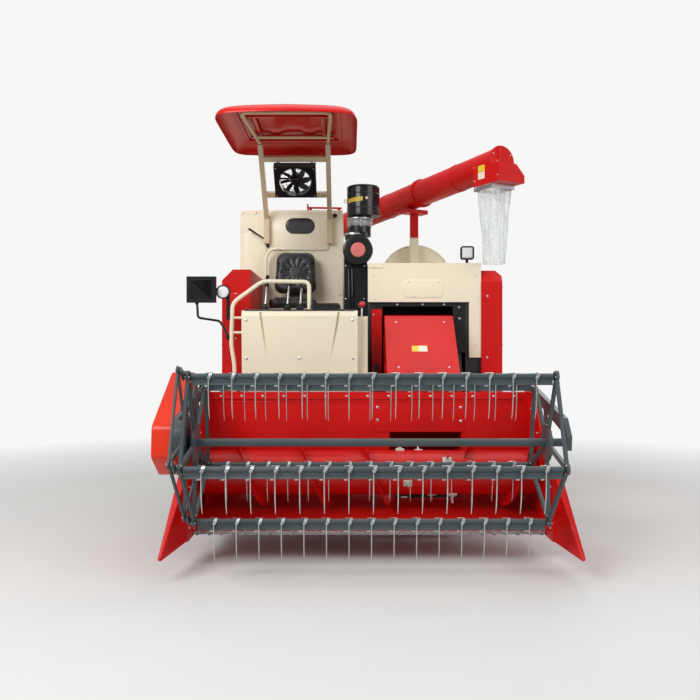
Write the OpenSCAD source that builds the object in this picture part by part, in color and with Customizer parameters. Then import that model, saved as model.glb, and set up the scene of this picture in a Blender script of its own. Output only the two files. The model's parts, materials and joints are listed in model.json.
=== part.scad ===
// Tracked rice combine harvester: cutting header and reel in front, operator's place on the left of the
// picture, thresher on its right, grain tank behind the seat, two rubber tracks.
// x runs across the machine, -y is its front, z is up, and the tracks stand on z = 0.
// Inside place(), y is measured from the tips of the knife guards and x from the middle of the header.

/* [Header] */
// Clear width between the end sheets
header_w = 2270; // [1800:10:2600]
// Thickness of the header's sheet metal
sheet = 12; // [8:1:20]
// Height of the knife above the ground
knife_z = 190; // [150:5:300]
// Top of the header's back wall
back_top = 1060; // [900:10:1200]
// Front face of the back wall
back_y = 625; // [600:5:700]
// Radius over the auger's flights
auger_r = 230; // [180:5:240]
// Radius of the auger's drum
auger_drum_r = 150; // [80:5:160]
// Height of the auger's axis
auger_z = 525; // [480:5:560]
// Distance from the knife to the auger's axis
auger_y = 380; // [370:5:400]
// Spacing of the knife guards
guard_pitch = 76.2; // [50:0.1:80]

/* [Reel] */
// Radius to the tine bars
reel_r = 461; // [400:1:470]
// Distance of the reel's axis in front of the knife
reel_ahead = 340; // [320:5:500]
// Height of the reel's axis
reel_z = 811; // [800:1:950]
// Number of tine bars
bar_count = 5; // [4:1:6]
// Length of a tine bar
bar_len = 2060; // [1600:10:2200]
// Length of a tine below its bar
tine_len = 215; // [150:5:230]
// Spacing of the tines
tine_pitch = 132; // [100:1:200]
// Angle of the first bar at rest, from the rearward horizontal
bar_angle = 47.6; // [0:0.1:72]
// Offset of the eccentric ring from the reel's axis
ring_offset = 70; // [50:1:90]

/* [Tracks] */
// Width of a track
track_w = 500; // [350:10:550]
// Distance between the middles of the tracks
gauge = 1250; // [1000:10:1400]
// Height of a track's lug
lug_h = 38; // [25:1:50]
// Thickness of the track's belt
belt_t = 24; // [16:1:35]
// Number of lugs round a track
lug_count = 50; // [36:1:60]
// Radius of the road rollers
roller_r = 95; // [70:1:110]
// Number of road rollers on a side
roller_count = 5; // [4:1:6]

/* [Body] */
// Top of the thresher's front panel
thresher_top = 2050; // [1900:10:2200]
// Height of the grain tank's top
tank_top = 2600; // [2300:10:2800]
// Height of the canopy's top
canopy_top = 3110; // [2950:5:3250]
// Height of the platform's floor
floor_z = 1000; // [900:10:1100]
// Width of the console
console_w = 850; // [700:10:900]
// Radius of the unloading tube
tube_r = 112; // [90:1:125]
// Radius of the drum cover's arch
arch_r = 330; // [280:5:350]
// Radius of the operator's fan
fan_r = 152; // [120:1:155]
// Number of fan blades
fan_blades = 8; // [5:1:10]

/* [Clearances] */
// Gap between a shaft and the hole that it runs in
run_gap = 0.05; // [0.02:0.01:0.1]
// Gap between a moving piece and its neighbour
clear = 6; // [5:1:10]
// Gap between two pieces that rest face to face
seat_gap = 0.3; // [0.1:0.1:1]

/* [Hidden] */
$fn = 64;

// Colours
red = "#be0c08"; orange = "#d8300c"; cream = "#e9e4cf"; tan = "#b9a67c"; slate = "#46535a";
zinc = "#c9ccce"; steel = "#8f9498"; black = "#151617"; rubber = "#232323"; glass = "#9fb4b8";

// Outer limits, from which the middle of the whole machine comes
header_in = header_w / 2;
spider_x = bar_len / 2 + 12;
// Place of the reel's arms, outside both the header and the reel
reel_side = max(header_in, spider_x + 42);
cover_x = [-reel_side - 215, -reel_side - 70 - seat_gap];
left_end = cover_x[0];
right_end = header_in + 125;
front_end = -reel_ahead - reel_r - 52;
rear_end = 4400;
mid = [(left_end + right_end) / 2, (front_end + rear_end) / 2];

// Header: hinge behind the feeder house, trough and dividers
lift_y = 1380;
lift_z = 1420;
feeder_x = [145, 680];
feeder_end_r = 215;
trough_r = auger_r + 15;
beam = 60;
divider_len = 440;
auger_pin_r = 25;

// Reel
reel_y = -reel_ahead;
bar_h = 66;
tube_bar_r = 16;
tine_r = 3.2;
tines = floor((bar_len - 60) / tine_pitch) + 1;
shaft_r = 24;
ring_dir = 150;
ring_hub_r = 105;
crank_pin_r = 9;
ring_e = [ring_offset * cos(ring_dir), ring_offset * sin(ring_dir)];
arm_pivot = [back_y + 35, back_top + 45];
function dir(a) = [cos(a), sin(a)];
function bar_at(i) = [reel_y + reel_r * cos(bar_angle + i * 360 / bar_count),
                      reel_z + reel_r * sin(bar_angle + i * 360 / bar_count)];

// Tracks: wheels as [y, z, radius], anticlockwise seen from +x
track_x = [-30 - gauge / 2, -30 + gauge / 2];
belt_in = lug_h + belt_t;
sprocket = [1330, 445, 165];
idler = [3420, belt_in + 205, 205];
first_roller = [1640, belt_in + roller_r, roller_r];
wheels = [first_roller, idler, sprocket];
top_roller_y = 2300;
top_roller_r = 40;
// The top roller touches the inside of the straight run between idler and sprocket
run_n = let(a = normal_angle(idler, sprocket)) [cos(a), sin(a)];
top_roller_z = (run_n * [idler[0], idler[1]] + idler[2] - top_roller_r - seat_gap
    - run_n[0] * top_roller_y) / run_n[1];
function normal_angle(a, b) = let(d = [b[0] - a[0], b[1] - a[1]])
    atan2(d[1], d[0]) - acos((a[2] - b[2]) / norm(d));
function turn(a, b) = (b - a) - 360 * floor((b - a) / 360);
function belt(list, t, step = 5) = [for (i = [0:len(list) - 1])
    let(c = list[i], p = list[(i + len(list) - 1) % len(list)], n = list[(i + 1) % len(list)],
        a0 = normal_angle(p, c), sweep = turn(a0, normal_angle(c, n)), k = ceil(sweep / step))
    for (j = [0:k]) [c[0] + (c[2] + t) * cos(a0 + sweep * j / k),
                     c[1] + (c[2] + t) * sin(a0 + sweep * j / k)]];
function lengths(p, i = 0, s = 0) = i > len(p) ? [] :
    concat([s], lengths(p, i + 1, s + norm(p[(i + 1) % len(p)] - p[i % len(p)])));
function find(l, s, i = 0) = l[i + 1] > s ? i : find(l, s, i + 1);
// The point at length s along a loop, raised by h
function on_belt(loop, path, s, h) = let(i = find(path, s), way = unit(loop[(i + 1) % len(loop)] - loop[i]))
    loop[i] + way * (s - path[i]) + h * [way[1], -way[0]];

// Unloader: pivot, direction and length
elevator = [-550, 3970];
tube_z = 2630;
outlet_at = [976, 1210];
swing_dir = atan2(outlet_at[1] - elevator[1], outlet_at[0] - elevator[0]);
tube_tilt = 3.3;
trunnion_r = 25;
lift_pin_r = 10;
lug_at = [-70, 245];
lift_eye = [600, 150];
tube_end = 3300;
rest_at = 2075;
flange = 14;
sleeve = [215, 230];
sleeve_low = 2030;
// The sleeve hangs under the end of the tube, and its head reaches past the tube
sleeve_at = tube_end - 95;
sleeve_c = [elevator[0] + sleeve_at * cos(swing_dir), elevator[1] + sleeve_at * sin(swing_dir)];
outlet_z = tube_z + sleeve_at * sin(tube_tilt);
outlet_drop = 178;
outlet_half = 125;

// Body places: [low, high] across, along and up
console_x = [-920, -920 + console_w];
console_y = [760, 930];
console_top = 1650;
rail_y = 860;
housing_x = [-1128, -905];
housing_y = [1170, 2000];
housing_top = 1990;
thresher_x = [16, 913];
thresher_y = [1250, 4080];
thresher_bottom = 700;
side_x = [913, 1080];
tank_x = [-1100, -190];
tank_y = [2010, 3840];
window_z = tank_top - 140;
deck_z = 690;
rail_x = [track_x[0] + track_w / 2 + 55, track_x[1] - track_w / 2 - 55];
axle_tubes = [1900, 3000];
lift_a = [rail_x[1] - 20, 1600, 290];
lift_b = [rail_x[1] - 20, 790, 262];
header_pin_r = 14;
eye_play = 9;
tow_x = -30;
tow_r = 17;
post_x = [-862, -306];
canopy_x = [-1095, -72];
canopy_y = [430, 1700];
canopy_low = canopy_top - 100;
hoop_z = canopy_top - 60;
// The canopy's posts stand on the front of the grain tank and lean forward: [y, z]
post_foot = [tank_y[0] - 35, 2520];
post_head = [1450, canopy_top - 64];
post_lean = atan2(post_foot[0] - post_head[0], post_head[1] - post_foot[1]);
post_len = norm(post_head - post_foot);
// The fan's place between them: across, behind and along the posts
fan_in = [(post_x[0] + post_x[1]) / 2, -70, post_len * 0.58];
fan_at = [fan_in[0], post_foot[0] + fan_in[1] * cos(post_lean) - fan_in[2] * sin(post_lean),
          post_foot[1] + fan_in[1] * sin(post_lean) + fan_in[2] * cos(post_lean)];
fan_plate = [350, 296];
seat_mid = -600;

module place() { translate([-mid[0], -mid[1], 0]) children(); }
module block(x, y, z) { translate([x[0], y[0], z[0]]) cube([x[1] - x[0], y[1] - y[0], z[1] - z[0]]); }
// A flat shape drawn in y and z, made thick along x
module side_plate(x, points) {
    translate([x[0], 0, 0]) rotate([90, 0, 90]) linear_extrude(x[1] - x[0]) polygon(points);
}
module side_shape(x) { translate([x[0], 0, 0]) rotate([90, 0, 90]) linear_extrude(x[1] - x[0]) children(); }
module rod(a, b, r) {
    d = b - a;
    translate(a) rotate([0, acos(d[2] / norm(d)), atan2(d[1], d[0])]) cylinder(h = norm(d), r = r);
}
module x_rod(x, y, z, r) { translate([x[0], y, z]) rotate([0, 90, 0]) cylinder(h = x[1] - x[0], r = r); }
module y_rod(x, y, z, r) { translate([x, y[0], z]) rotate([-90, 0, 0]) cylinder(h = y[1] - y[0], r = r); }
// A round tube along a route: each corner is rounded within reach of its point, and a ring of points
// is carried along without twisting
function unit(v) = v / norm(v);
function eased(p, reach, n = 4) = [for (i = [0:len(p) - 1])
    if (i == 0 || i == len(p) - 1) p[i]
    else let(a = p[i] + unit(p[i - 1] - p[i]) * reach, b = p[i] + unit(p[i + 1] - p[i]) * reach)
        for (j = [0:n]) let(u = j / n) a * (1 - u) * (1 - u) + p[i] * 2 * u * (1 - u) + b * u * u];
function heading(p, i) = unit(p[min(i + 1, len(p) - 1)] - p[max(i - 1, 0)]);
function carried(p, i, n) = i >= len(p) ? [] :
    let(h = heading(p, i), m = unit(n - h * (n * h))) concat([m], carried(p, i + 1, m));
module bent(route, r, reach = 45, sides = 12) {
    p = eased(route, reach);
    first = heading(p, 0);
    n = carried(p, 0, abs(first[0]) < 0.8 ? [1, 0, 0] : [0, 0, 1]);
    pts = [for (i = [0:len(p) - 1]) let(h = heading(p, i), b = cross(h, n[i])) for (k = [0:sides - 1])
        p[i] + r * (n[i] * cos(360 * k / sides) + b * sin(360 * k / sides))];
    sides_f = [for (i = [0:len(p) - 2], k = [0:sides - 1]) let(q = (k + 1) % sides)
        [i * sides + k, (i + 1) * sides + k, (i + 1) * sides + q, i * sides + q]];
    last = (len(p) - 1) * sides;
    polyhedron(pts, concat(sides_f, [[for (k = [0:sides - 1]) k]],
        [[for (k = [0:sides - 1]) last + sides - 1 - k]]));
}
module bar(a, b, w) {
    d = (b - a) / norm(b - a) * w / 2;
    s = [-d[1], d[0]];
    polygon([a + s, b + s, b - s, a - s]);
}

// Undercarriage
module chassis_frame() {
    color(slate) place() {
        for (x = rail_x) block([x - 40, x + 40], [1120, 4020], [deck_z - 80, deck_z]);
        for (y = [1120, 1220, 1900, 2700, 3500]) block([-1090, y < 1200 ? feeder_x[0] - 85 : 905], [y, y + 80],
            [deck_z, deck_z + 60 - seat_gap]);
        // Legs and cross tubes that carry the track frames between the track's runs
        for (y = axle_tubes, k = [0, 1]) {
            block([rail_x[k] - 40, rail_x[k] + 40], [y, y + 90], [280, deck_z - 79]);
            block(k == 0 ? [track_x[0] + 60 + seat_gap, rail_x[0]] : [rail_x[1], track_x[1] - 60 - seat_gap],
                [y, y + 90], [285, 375]);
        }
        // Hangers of the header's lift cylinder
        for (x = [lift_a[0] - 56, lift_a[0] + 42]) side_plate([x, x + 14], [[lift_a[1] - 50, deck_z - 79],
            [lift_a[1] - 30, lift_a[2] - 26], [lift_a[1] + 30, lift_a[2] - 26], [lift_a[1] + 50, deck_z - 79]]);
        block([lift_a[0] - 56, rail_x[1]], [lift_a[1] - 55, lift_a[1] + 55], [deck_z - 96, deck_z - 79]);
        x_rod([lift_a[0] - 60, lift_a[0] + 60], lift_a[1], lift_a[2], header_pin_r);
        // Hangers of the feeder's hinge
        for (x = [feeder_x[0] - 80, feeder_x[1] + 50]) side_plate([x, x + 30], [[1180, deck_z],
            [1320, deck_z], [1440, lift_z - 40], [1440, lift_z + 40], [1330, lift_z + 40], [1200, 1100]]);
        x_rod([feeder_x[0] - 95, feeder_x[1] + 95], lift_y, lift_z, 25);
        // Rear cross member with the tow eye
        block([rail_x[0] - 40, rail_x[1] + 40], [4020, 4060], [deck_z - 80, deck_z]);
        difference() {
            block([tow_x - 8, tow_x + 8], [4050, 4150], [deck_z - 80, deck_z]);
            x_rod([tow_x - 20, tow_x + 20], 4110, deck_z - 40, tow_r);
        }
        // Cab mounts under the platform
        for (x = [-1060, -160]) block([x, x + 60], [1125, 1160], [deck_z + 60 - seat_gap, floor_z - 40]);
    }
}
module gearbox() {
    color(slate) place() {
        block([-200, 140], [1200, 1480], [330, deck_z - 80]);
        block([-150, 90], [1260, 1420], [deck_z - 80, deck_z - seat_gap]);
        x_rod([track_x[0] - 90, track_x[1] + 90], sprocket[0], sprocket[1], 55);
        for (x = track_x) difference() {
            x_rod([x - 45, x + 45], sprocket[0], sprocket[1], sprocket[2] - seat_gap);
            for (k = [0:7]) translate([0, sprocket[0] + 105 * cos(45 * k), sprocket[1] + 105 * sin(45 * k)])
                x_rod([x - 50, x + 50], 0, 0, 22);
        }
    }
}
module track(x) {
    color(rubber) place() {
        inner = belt(wheels, 0);
        outer = belt(wheels, belt_t);
        path = lengths(outer);
        pitch = path[len(outer)] / lug_count;
        side_shape([x - track_w / 2, x + track_w / 2]) difference() {
            polygon([for (k = [0:lug_count - 1]) let(at = (k + 0.5) * pitch) each concat(
                [on_belt(outer, path, at - 24, 0), on_belt(outer, path, at - 15, lug_h),
                 on_belt(outer, path, at + 15, lug_h), on_belt(outer, path, at + 24, 0)],
                [for (i = [1:2 * len(outer) - 1])
                    let(here = path[i % len(outer)] + (i < len(outer) ? 0 : path[len(outer)]))
                        if (here > at + 24 && here < at + pitch - 24) outer[i % len(outer)]])]);
            polygon(inner);
        }
    }
}
module track_left() { track(track_x[0]); }
module track_right() { track(track_x[1]); }
module track_frame(x) {
    color(slate) place() {
        block([x - 60, x + 60], [first_roller[0] - 120, idler[0] - 120], [270, 390]);
        for (s = [-1, 1]) block([x + s * 75 - 8, x + s * 75 + 8], [idler[0] - 260, idler[0] + 60], [230, 310]);
        block([x - 83, x + 83], [idler[0] - 280, idler[0] - 240], [240, 380]);
        for (k = [0:roller_count - 1]) {
            y = roller_y(k);
            for (s = [-1, 1]) block([x + s * 52 - 8, x + s * 52 + 8], [y - 35, y + 35],
                [first_roller[1] - 30, 275]);
        }
        block([x - 30, x + 30], [top_roller_y - 20, top_roller_y + 20], [390, top_roller_z]);
    }
    color(steel) place() {
        for (k = [0:roller_count - 1]) {
            x_rod([x - 43, x + 43], roller_y(k), first_roller[1], roller_r - 20);
            for (s = [-1, 1]) x_rod(s < 0 ? [x - 130, x - 61] : [x + 61, x + 130], roller_y(k),
                first_roller[1], roller_r - seat_gap);
            x_rod([x - 130, x + 130], roller_y(k), first_roller[1], 28);
        }
        x_rod([x - 60, x + 60], idler[0], idler[1], idler[2] - seat_gap);
        x_rod([x - 90, x + 90], idler[0], idler[1], 30);
        x_rod([x - 60, x + 60], top_roller_y, top_roller_z, top_roller_r);
    }
}
function roller_y(k) = first_roller[0] + k * (idler[0] - 330 - first_roller[0]) / (roller_count - 1);
module track_frame_left() { track_frame(track_x[0]); }
module track_frame_right() { track_frame(track_x[1]); }
// Engine and operator's place
module engine_block() {
    color(steel) place() block([-860, -330], [1480, 1960], [deck_z + 60, 1240]);
}
module engine_housing() {
    color(red) place() {
        difference() {
            block(housing_x, housing_y, [deck_z + 60, housing_top]);
            block([housing_x[0] - 1, housing_x[1] - 20], [housing_y[0] + 60, housing_y[1] - 60],
                [floor_z - 120, housing_top - 110]);
            translate([housing_x[0], 0, housing_top]) rotate([0, 45, 0])
                block([-60, 60], [housing_y[0] - 5, housing_y[1] + 5], [-60, 60]);
        }
        // Pins of the screen door
        for (k = knuckles) {
            translate([screen_hinge[0], screen_hinge[1], k - 34]) cylinder(h = 88, r = door_pin_r);
            block([screen_hinge[0] - 8, housing_x[0] + 2], [screen_hinge[1] - 8, screen_hinge[1] + 45],
                [k - 34, k - 6]);
        }
    }
}
screen_hinge = [housing_x[0] - 22, housing_y[1] - 50];
module screen_door() {
    y = [housing_y[0] + 60 + clear, housing_y[1] - 60 - clear];
    z = [floor_z - 120 + clear, housing_top - 110 - clear];
    color(red) place() {
        difference() {
            union() {
                block([housing_x[0], housing_x[0] + 30], y, z);
                for (k = knuckles) {
                    translate([screen_hinge[0], screen_hinge[1], k]) cylinder(h = 60, r = 15);
                    block([screen_hinge[0], housing_x[0] - 7], [y[1] - 60, screen_hinge[1]], [k, k + 60]);
                    block([screen_hinge[0], housing_x[0] + 4], [y[1] - 60, y[1] - 1], [k, k + 60]);
                }
            }
            block([housing_x[0] - 1, housing_x[0] + 31], [y[0] + 70, y[1] - 70], [z[0] + 80, z[1] - 80]);
            translate([screen_hinge[0], screen_hinge[1], 800]) cylinder(h = 1200, r = door_pin_r + run_gap);
        }
        for (k = [1:9]) block([housing_x[0] + 8, housing_x[0] + 16],
            [y[0] + 68, y[1] - 68], [z[0] + 80 + k * 80, z[0] + 92 + k * 80]);
        for (k = [1:7]) block([housing_x[0] + 8, housing_x[0] + 16],
            [y[0] + 70 + k * 70, y[0] + 78 + k * 70], [z[0] + 78, z[1] - 78]);
    }
}
module platform() {
    color(slate) place() {
        block([-1128, -20], [console_y[0], housing_y[0] - clear], [floor_z - 40, floor_z - seat_gap]);
        block([housing_x[1] + clear, -20], [housing_y[0] - clear - 1, 1475], [floor_z - 40, floor_z - seat_gap]);
        for (x = [[housing_x[1] + clear, -866], [-324, -190]])
            block(x, [1474, 1990], [floor_z - 40, floor_z - seat_gap]);
        // Step on the operator's side
        for (y = [880, 1090]) block([-1100, -1070], [y, y + 30], [620, floor_z - 39]);
        block([-1120, -1040], [860, 1150], [600, 625]);
    }
}
module console() {
    color(cream) place() {
        difference() {
            side_plate(console_x, [[console_y[0] + 40, floor_z], [console_y[1] + 30, floor_z],
                [console_y[1] + 60, console_top - 30], [console_y[1], console_top], [console_y[0] + 15, console_top],
                [console_y[0], console_top - 40]]);
            block([console_x[0] + 25, console_x[1] - 25], [console_y[0] + 60, console_y[1] + 70],
                [floor_z - 1, console_top - 60]);
            // Two pressed grooves that meet the lower edge as a wide V
            for (s = [-1, 1]) translate([(console_x[0] + console_x[1]) / 2 + s * 255, console_y[0] + 6, 1430])
                rotate([0, s * 9, 0]) cube([16, 30, 420], center = true);
        }
    }
    color(black) place() side_plate([console_x[1] + seat_gap, console_x[1] + 75], [[console_y[0] + 90, floor_z],
        [1300, floor_z], [1180, 1200], [console_y[1] + 60, console_top - 60], [console_y[0] + 90, console_top - 40]]);
}
module handrail() {
    y = rail_y;
    color(cream) place() {
        bent([[-431, y + 30, console_top + seat_gap], [-431, y + 30, 1870], [-780, y + 10, 1873], [-1000, y, 1710],
            [-1010, y, 1400], [-985, y, 1250], [-985, y, floor_z]], 15);
        for (z = [1600, 1490]) rod([-1008, y, z], [console_x[0] - seat_gap, y, z], 9);
    }
}
module levers() {
    color(zinc) place() {
        block([-850, -480], [820, 900], [console_top + seat_gap, console_top + 10]);
        for (v = [[-595, 60], [-500, 45], [-760, 90]])
            rod([v[0], 870, console_top + 5], [v[0] + 8, 955, console_top + 140 + v[1]], 8);
    }
    color(zinc) place() {
        rod([-40, 1100, 1380], [-34, 1120, 1700], 7);
        translate([-34, 1120, 1712]) sphere(r = 26);
    }
}
module mirror() {
    y = rail_y;
    color(black) place() {
        block([-1045, -1024], [y - 15, y + 15], [1438, 1474]);
        bent([[-1035, y, 1456], [-1054, y, 1508], [-1091, y - 20, 1575], [-1247, y - 50, 1598],
            [-1255, y - 50, 1731]], 9, 20);
        translate([-1221, y - 50, 1805]) difference() {
            cube([215, 36, 193], center = true);
            translate([0, 15, 0]) cube([195, 20, 173], center = true);
        }
    }
}
module seat_base() {
    color(cream) place() {
        difference() {
            block([-900, -220], [1470, 1990], [floor_z, 1640]);
            block([-880, -240], [1469, 1970], [floor_z - 1, 1290]);
        }
        block([seat_mid - 200, seat_mid + 200], [1480, 1930], [1640, 1700 - seat_gap]);
    }
}
module seat_cushion() {
    color(black) place() hull() for (x = [-1, 1], y = [1500, 1840])
        translate([seat_mid + x * 180, y, 1700]) cylinder(h = 88, r = 40, $fn = 32);
}
module seat_back() {
    color(black) place() translate([seat_mid, 1815, 1820]) rotate([-11, 0, 0]) hull()
        for (x = [-1, 1], z = [60, 350]) translate([x * 145, 0, z]) rotate([-90, 0, 0])
            cylinder(h = 70, r = 60, $fn = 32);
    color(slate) place() block([seat_mid - 60, seat_mid + 60], [1890, 1925], [1700, 2000]);
}

// Canopy, its frame and the fan
module on_posts() { place() translate([0, post_foot[0], post_foot[1]]) rotate([post_lean, 0, 0]) children(); }
module canopy_frame() {
    color(tan) on_posts() {
        for (x = post_x) block([x - 20, x + 20], [-20, 20], [0, post_len]);
        // Crossbars under and over the fan, and two straps behind it
        for (z = [fan_in[2] - fan_plate[1] / 2 - 50, fan_in[2] + fan_plate[1] / 2 + 5])
            block([post_x[0] + 19, post_x[1] - 19], [-20, 10], [z, z + 45]);
        for (x = [fan_in[0] - 140, fan_in[0] + 140]) block([x - 12, x + 12], [-20, 0],
            [fan_in[2] - fan_plate[1] / 2 - 10, fan_in[2] + fan_plate[1] / 2 + 10]);
    }
    color(tan) place() {
        for (x = post_x) block([x - 24, x + 24], [post_foot[0] - 20, tank_y[0] - seat_gap],
            [post_foot[1] - 220, post_foot[1] + 8]);
        bent([[post_x[0], post_head[0] + 15, hoop_z], [post_x[0] - 42, canopy_y[0] + 175, hoop_z],
            [post_x[1] + 42, canopy_y[0] + 175, hoop_z], [post_x[1], post_head[0] + 15, hoop_z]], 14, 60);
        x_rod([post_x[0] - 15, post_x[1] + 15], post_head[0] - 180, hoop_z, 12);
    }
}
// Rounded outline of the canopy, bowed at its front, set in by s
module canopy_ring(s, z, h) {
    r = 90;
    for (x = [canopy_x[0] + s + r, canopy_x[1] - s - r], y = [canopy_y[0] + s + r + 60, canopy_y[1] - s - r])
        translate([x, y, z]) cylinder(h = h, r = r, $fn = 32);
    translate([(canopy_x[0] + canopy_x[1]) / 2, canopy_y[0] + s + r, z]) cylinder(h = h, r = r, $fn = 32);
}
module canopy() {
    color(red) place() difference() {
        hull() {
            canopy_ring(0, canopy_low, 25);
            canopy_ring(120, canopy_top - 10, 10);
        }
        hull() {
            canopy_ring(15, canopy_low - 1, 14);
            canopy_ring(130, canopy_top - 40, 10);
        }
    }
    color(red) place() for (x = [post_x[0] - 25, post_x[1] + 25], y = [canopy_y[0] + 330, post_head[0] - 120])
        block([x - 30, x + 30], [y, y + 60], [hoop_z + 14 + seat_gap, canopy_top - 25]);
}
module fan_frame() {
    color(black) on_posts() translate(fan_in) {
        difference() {
            block([-fan_plate[0] / 2, fan_plate[0] / 2], [-20, 50 - seat_gap], [-fan_plate[1] / 2, fan_plate[1] / 2]);
            y_rod(0, [-30, 60], 0, 134);
        }
        for (a = [0, 90]) rotate([0, a, 0]) translate([-140, 36, -6]) cube([280, 10, 12]);
        y_rod(0, [-4, 46], 0, 8);
    }
}
module fan_rotor() {
    color(black) on_posts() translate(fan_in) difference() {
        union() {
            y_rod(0, [-14, 28], 0, 42);
            for (k = [0:fan_blades - 1]) rotate([0, k * 360 / fan_blades, 0]) translate([36, 4, -16])
                rotate([28, 0, 0]) cube([fan_r - 62, 4, 34]);
        }
        y_rod(0, [-5, 40], 0, 8 + run_gap);
    }
}

// Grain tank, air intake
module grain_tank() {
    color(cream) place() {
        difference() {
            union() {
                block(tank_x, tank_y, [1500, tube_z - tube_r - 38]);
                block(tank_x, [tank_y[0], 3000], [1500, tank_top]);
                side_plate([tank_x[0] + 120, tank_x[1]], [[tank_y[0], 1500],
                    [tank_y[0] + 300, 1000], [tank_y[1] - 300, 1000], [tank_y[1], 1500]]);
            }
            translate([-566, tank_y[0] - 1, window_z]) rotate([-90, 0, 0]) scale([1, 0.5, 1])
                cylinder(h = 15, r = 115);
        }
        for (y = [2710, 3510], x = [tank_x[0] + 200, tank_x[1] - 120])
            block([x, x + 60], [y, y + 60], [deck_z + 60, 1001]);
    }
    color(black) place() translate([-566, tank_y[0] + 6, window_z]) rotate([-90, 0, 0]) scale([1, 0.5, 1])
        cylinder(h = 14, r = 116);
}
module air_intake() {
    color(black) place() {
        block([-175, thresher_x[0] - seat_gap], [1480, 1740], [floor_z - 40, 2150]);
        translate([-15 - 60, 1600, 2150]) cylinder(h = 150, r = 70);
        translate([-15, 1560, 2300]) cylinder(h = 60, r = 62);
        translate([-75, 1600, 2280]) cylinder(h = 60, r = 95);
        translate([-45, 1580, 2330]) cylinder(h = 140, r = 96);
        translate([-15, 1550, 2465]) cylinder(h = 240, r = 135);
        y_rod(-62, [1330, 1482], 2165, 92);
    }
}

// Thresher
module thresher_body() {
    color(slate) place() {
        difference() {
            side_plate(thresher_x, [[thresher_y[0] + 21, 1000], [thresher_y[0] + 350, deck_z + 60],
                [thresher_y[1], deck_z + 60], [thresher_y[1], 1990], [thresher_y[0] + 21, 1990]]);
            block([feeder_x[0] - 110, feeder_x[1] + 110], [thresher_y[0] - 20, 1760], [600, 1800]);
        }
    }
}
module front_panel() {
    color(cream) place() {
        block([thresher_x[0], thresher_x[1]], [thresher_y[0], thresher_y[0] + 20], [1740, thresher_top]);
        block([thresher_x[1] - 95, thresher_x[1]], [thresher_y[0], thresher_y[0] + 20], [1300, 1741]);
        block(thresher_x, [thresher_y[0] + 19, thresher_y[0] + 960], [thresher_top - 25, thresher_top]);
    }
}
module drum_cover() {
    color(cream) place() difference() {
        y_rod(476, [2260, 4000], 1990 + seat_gap, arch_r);
        block([0, 1000], [2200, 4100], [1500, 1990 + seat_gap]);
    }
}
module belt_cover() {
    color(red) place() {
        difference() {
            union() {
                side_plate([side_x[0] + seat_gap, side_x[1]], [[thresher_y[0] - 10, 900], [1950, 900],
                    [1950, side_top], [thresher_y[0] + 60, side_top], [thresher_y[0] - 10, side_top - 95]]);
                side_plate([side_x[0] + seat_gap, side_x[1]], [[3210, 800], [thresher_y[1], 800],
                    [thresher_y[1], side_top - 95], [thresher_y[1] - 90, side_top], [3210, side_top]]);
            }
            side_chamfer();
        }
        block([side_x[0] + seat_gap, side_x[0] + 40], [1940, 3220], [1100, 1900]);
        // Pins of the door
        for (z = knuckles) {
            translate([door_hinge[0], door_hinge[1], z - 34]) cylinder(h = 88, r = door_pin_r);
            block([side_x[1] - 2, door_hinge[0] + 10], [3210 + clear, 3250], [z - 34, z - 6]);
            block([door_hinge[0] - 8, door_hinge[0] + 8], [door_hinge[1], 3230], [z - 34, z - 6]);
        }
    }
}
side_top = 1995;
// Slanted cut along the top outer edge of the side panels
module side_chamfer() {
    translate([side_x[1], 0, side_top]) rotate([0, 45, 0]) block([-32, 32], [thresher_y[0] - 20, thresher_y[1] + 10],
        [-32, 32]);
}
door_hinge = [side_x[1] + 22, 3200];
door_pin_r = 8;
knuckles = [1050, 1750];
module side_door() {
    color(red) place() difference() {
        union() {
            block([side_x[0] + 60, side_x[1]], [1950 + clear, 3210 - clear - 12], [850, 1985]);
            for (z = knuckles) {
                translate([door_hinge[0], door_hinge[1], z]) cylinder(h = 60, r = 15);
                block([side_x[1] - 4, door_hinge[0]], [3150, door_hinge[1]], [z, z + 60]);
            }
        }
        translate([door_hinge[0], door_hinge[1], 800]) cylinder(h = 1200, r = door_pin_r + run_gap);
        side_chamfer();
    }
}
module straw_hood() {
    color(red) place() difference() {
        side_plate([thresher_x[0] + 10, thresher_x[1] - 10], [[thresher_y[1] + seat_gap, 1100],
            [rear_end, 950], [rear_end, 1750], [rear_end - 80, 1900], [thresher_y[1] + seat_gap, 1960]]);
        side_plate([thresher_x[0] + 30, thresher_x[1] - 30], [[thresher_y[1] + 20, 1000],
            [rear_end - 20, 900], [rear_end - 20, 1740], [rear_end - 90, 1880], [thresher_y[1] + 20, 1935]]);
    }
}
module work_lamps() {
    color(black) place() {
        y_rod(810, [1290, 1360], thresher_top + 85, 50);
        block([800, 820], [1310, 1330], [thresher_top, thresher_top + 50]);
        y_rod(-1066, [rail_y - 30, rail_y + 30], 1790, 50);
        block([-1045, -1019.5], [rail_y - 8, rail_y + 8], [1585, 1760]);
    }
}

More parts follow.
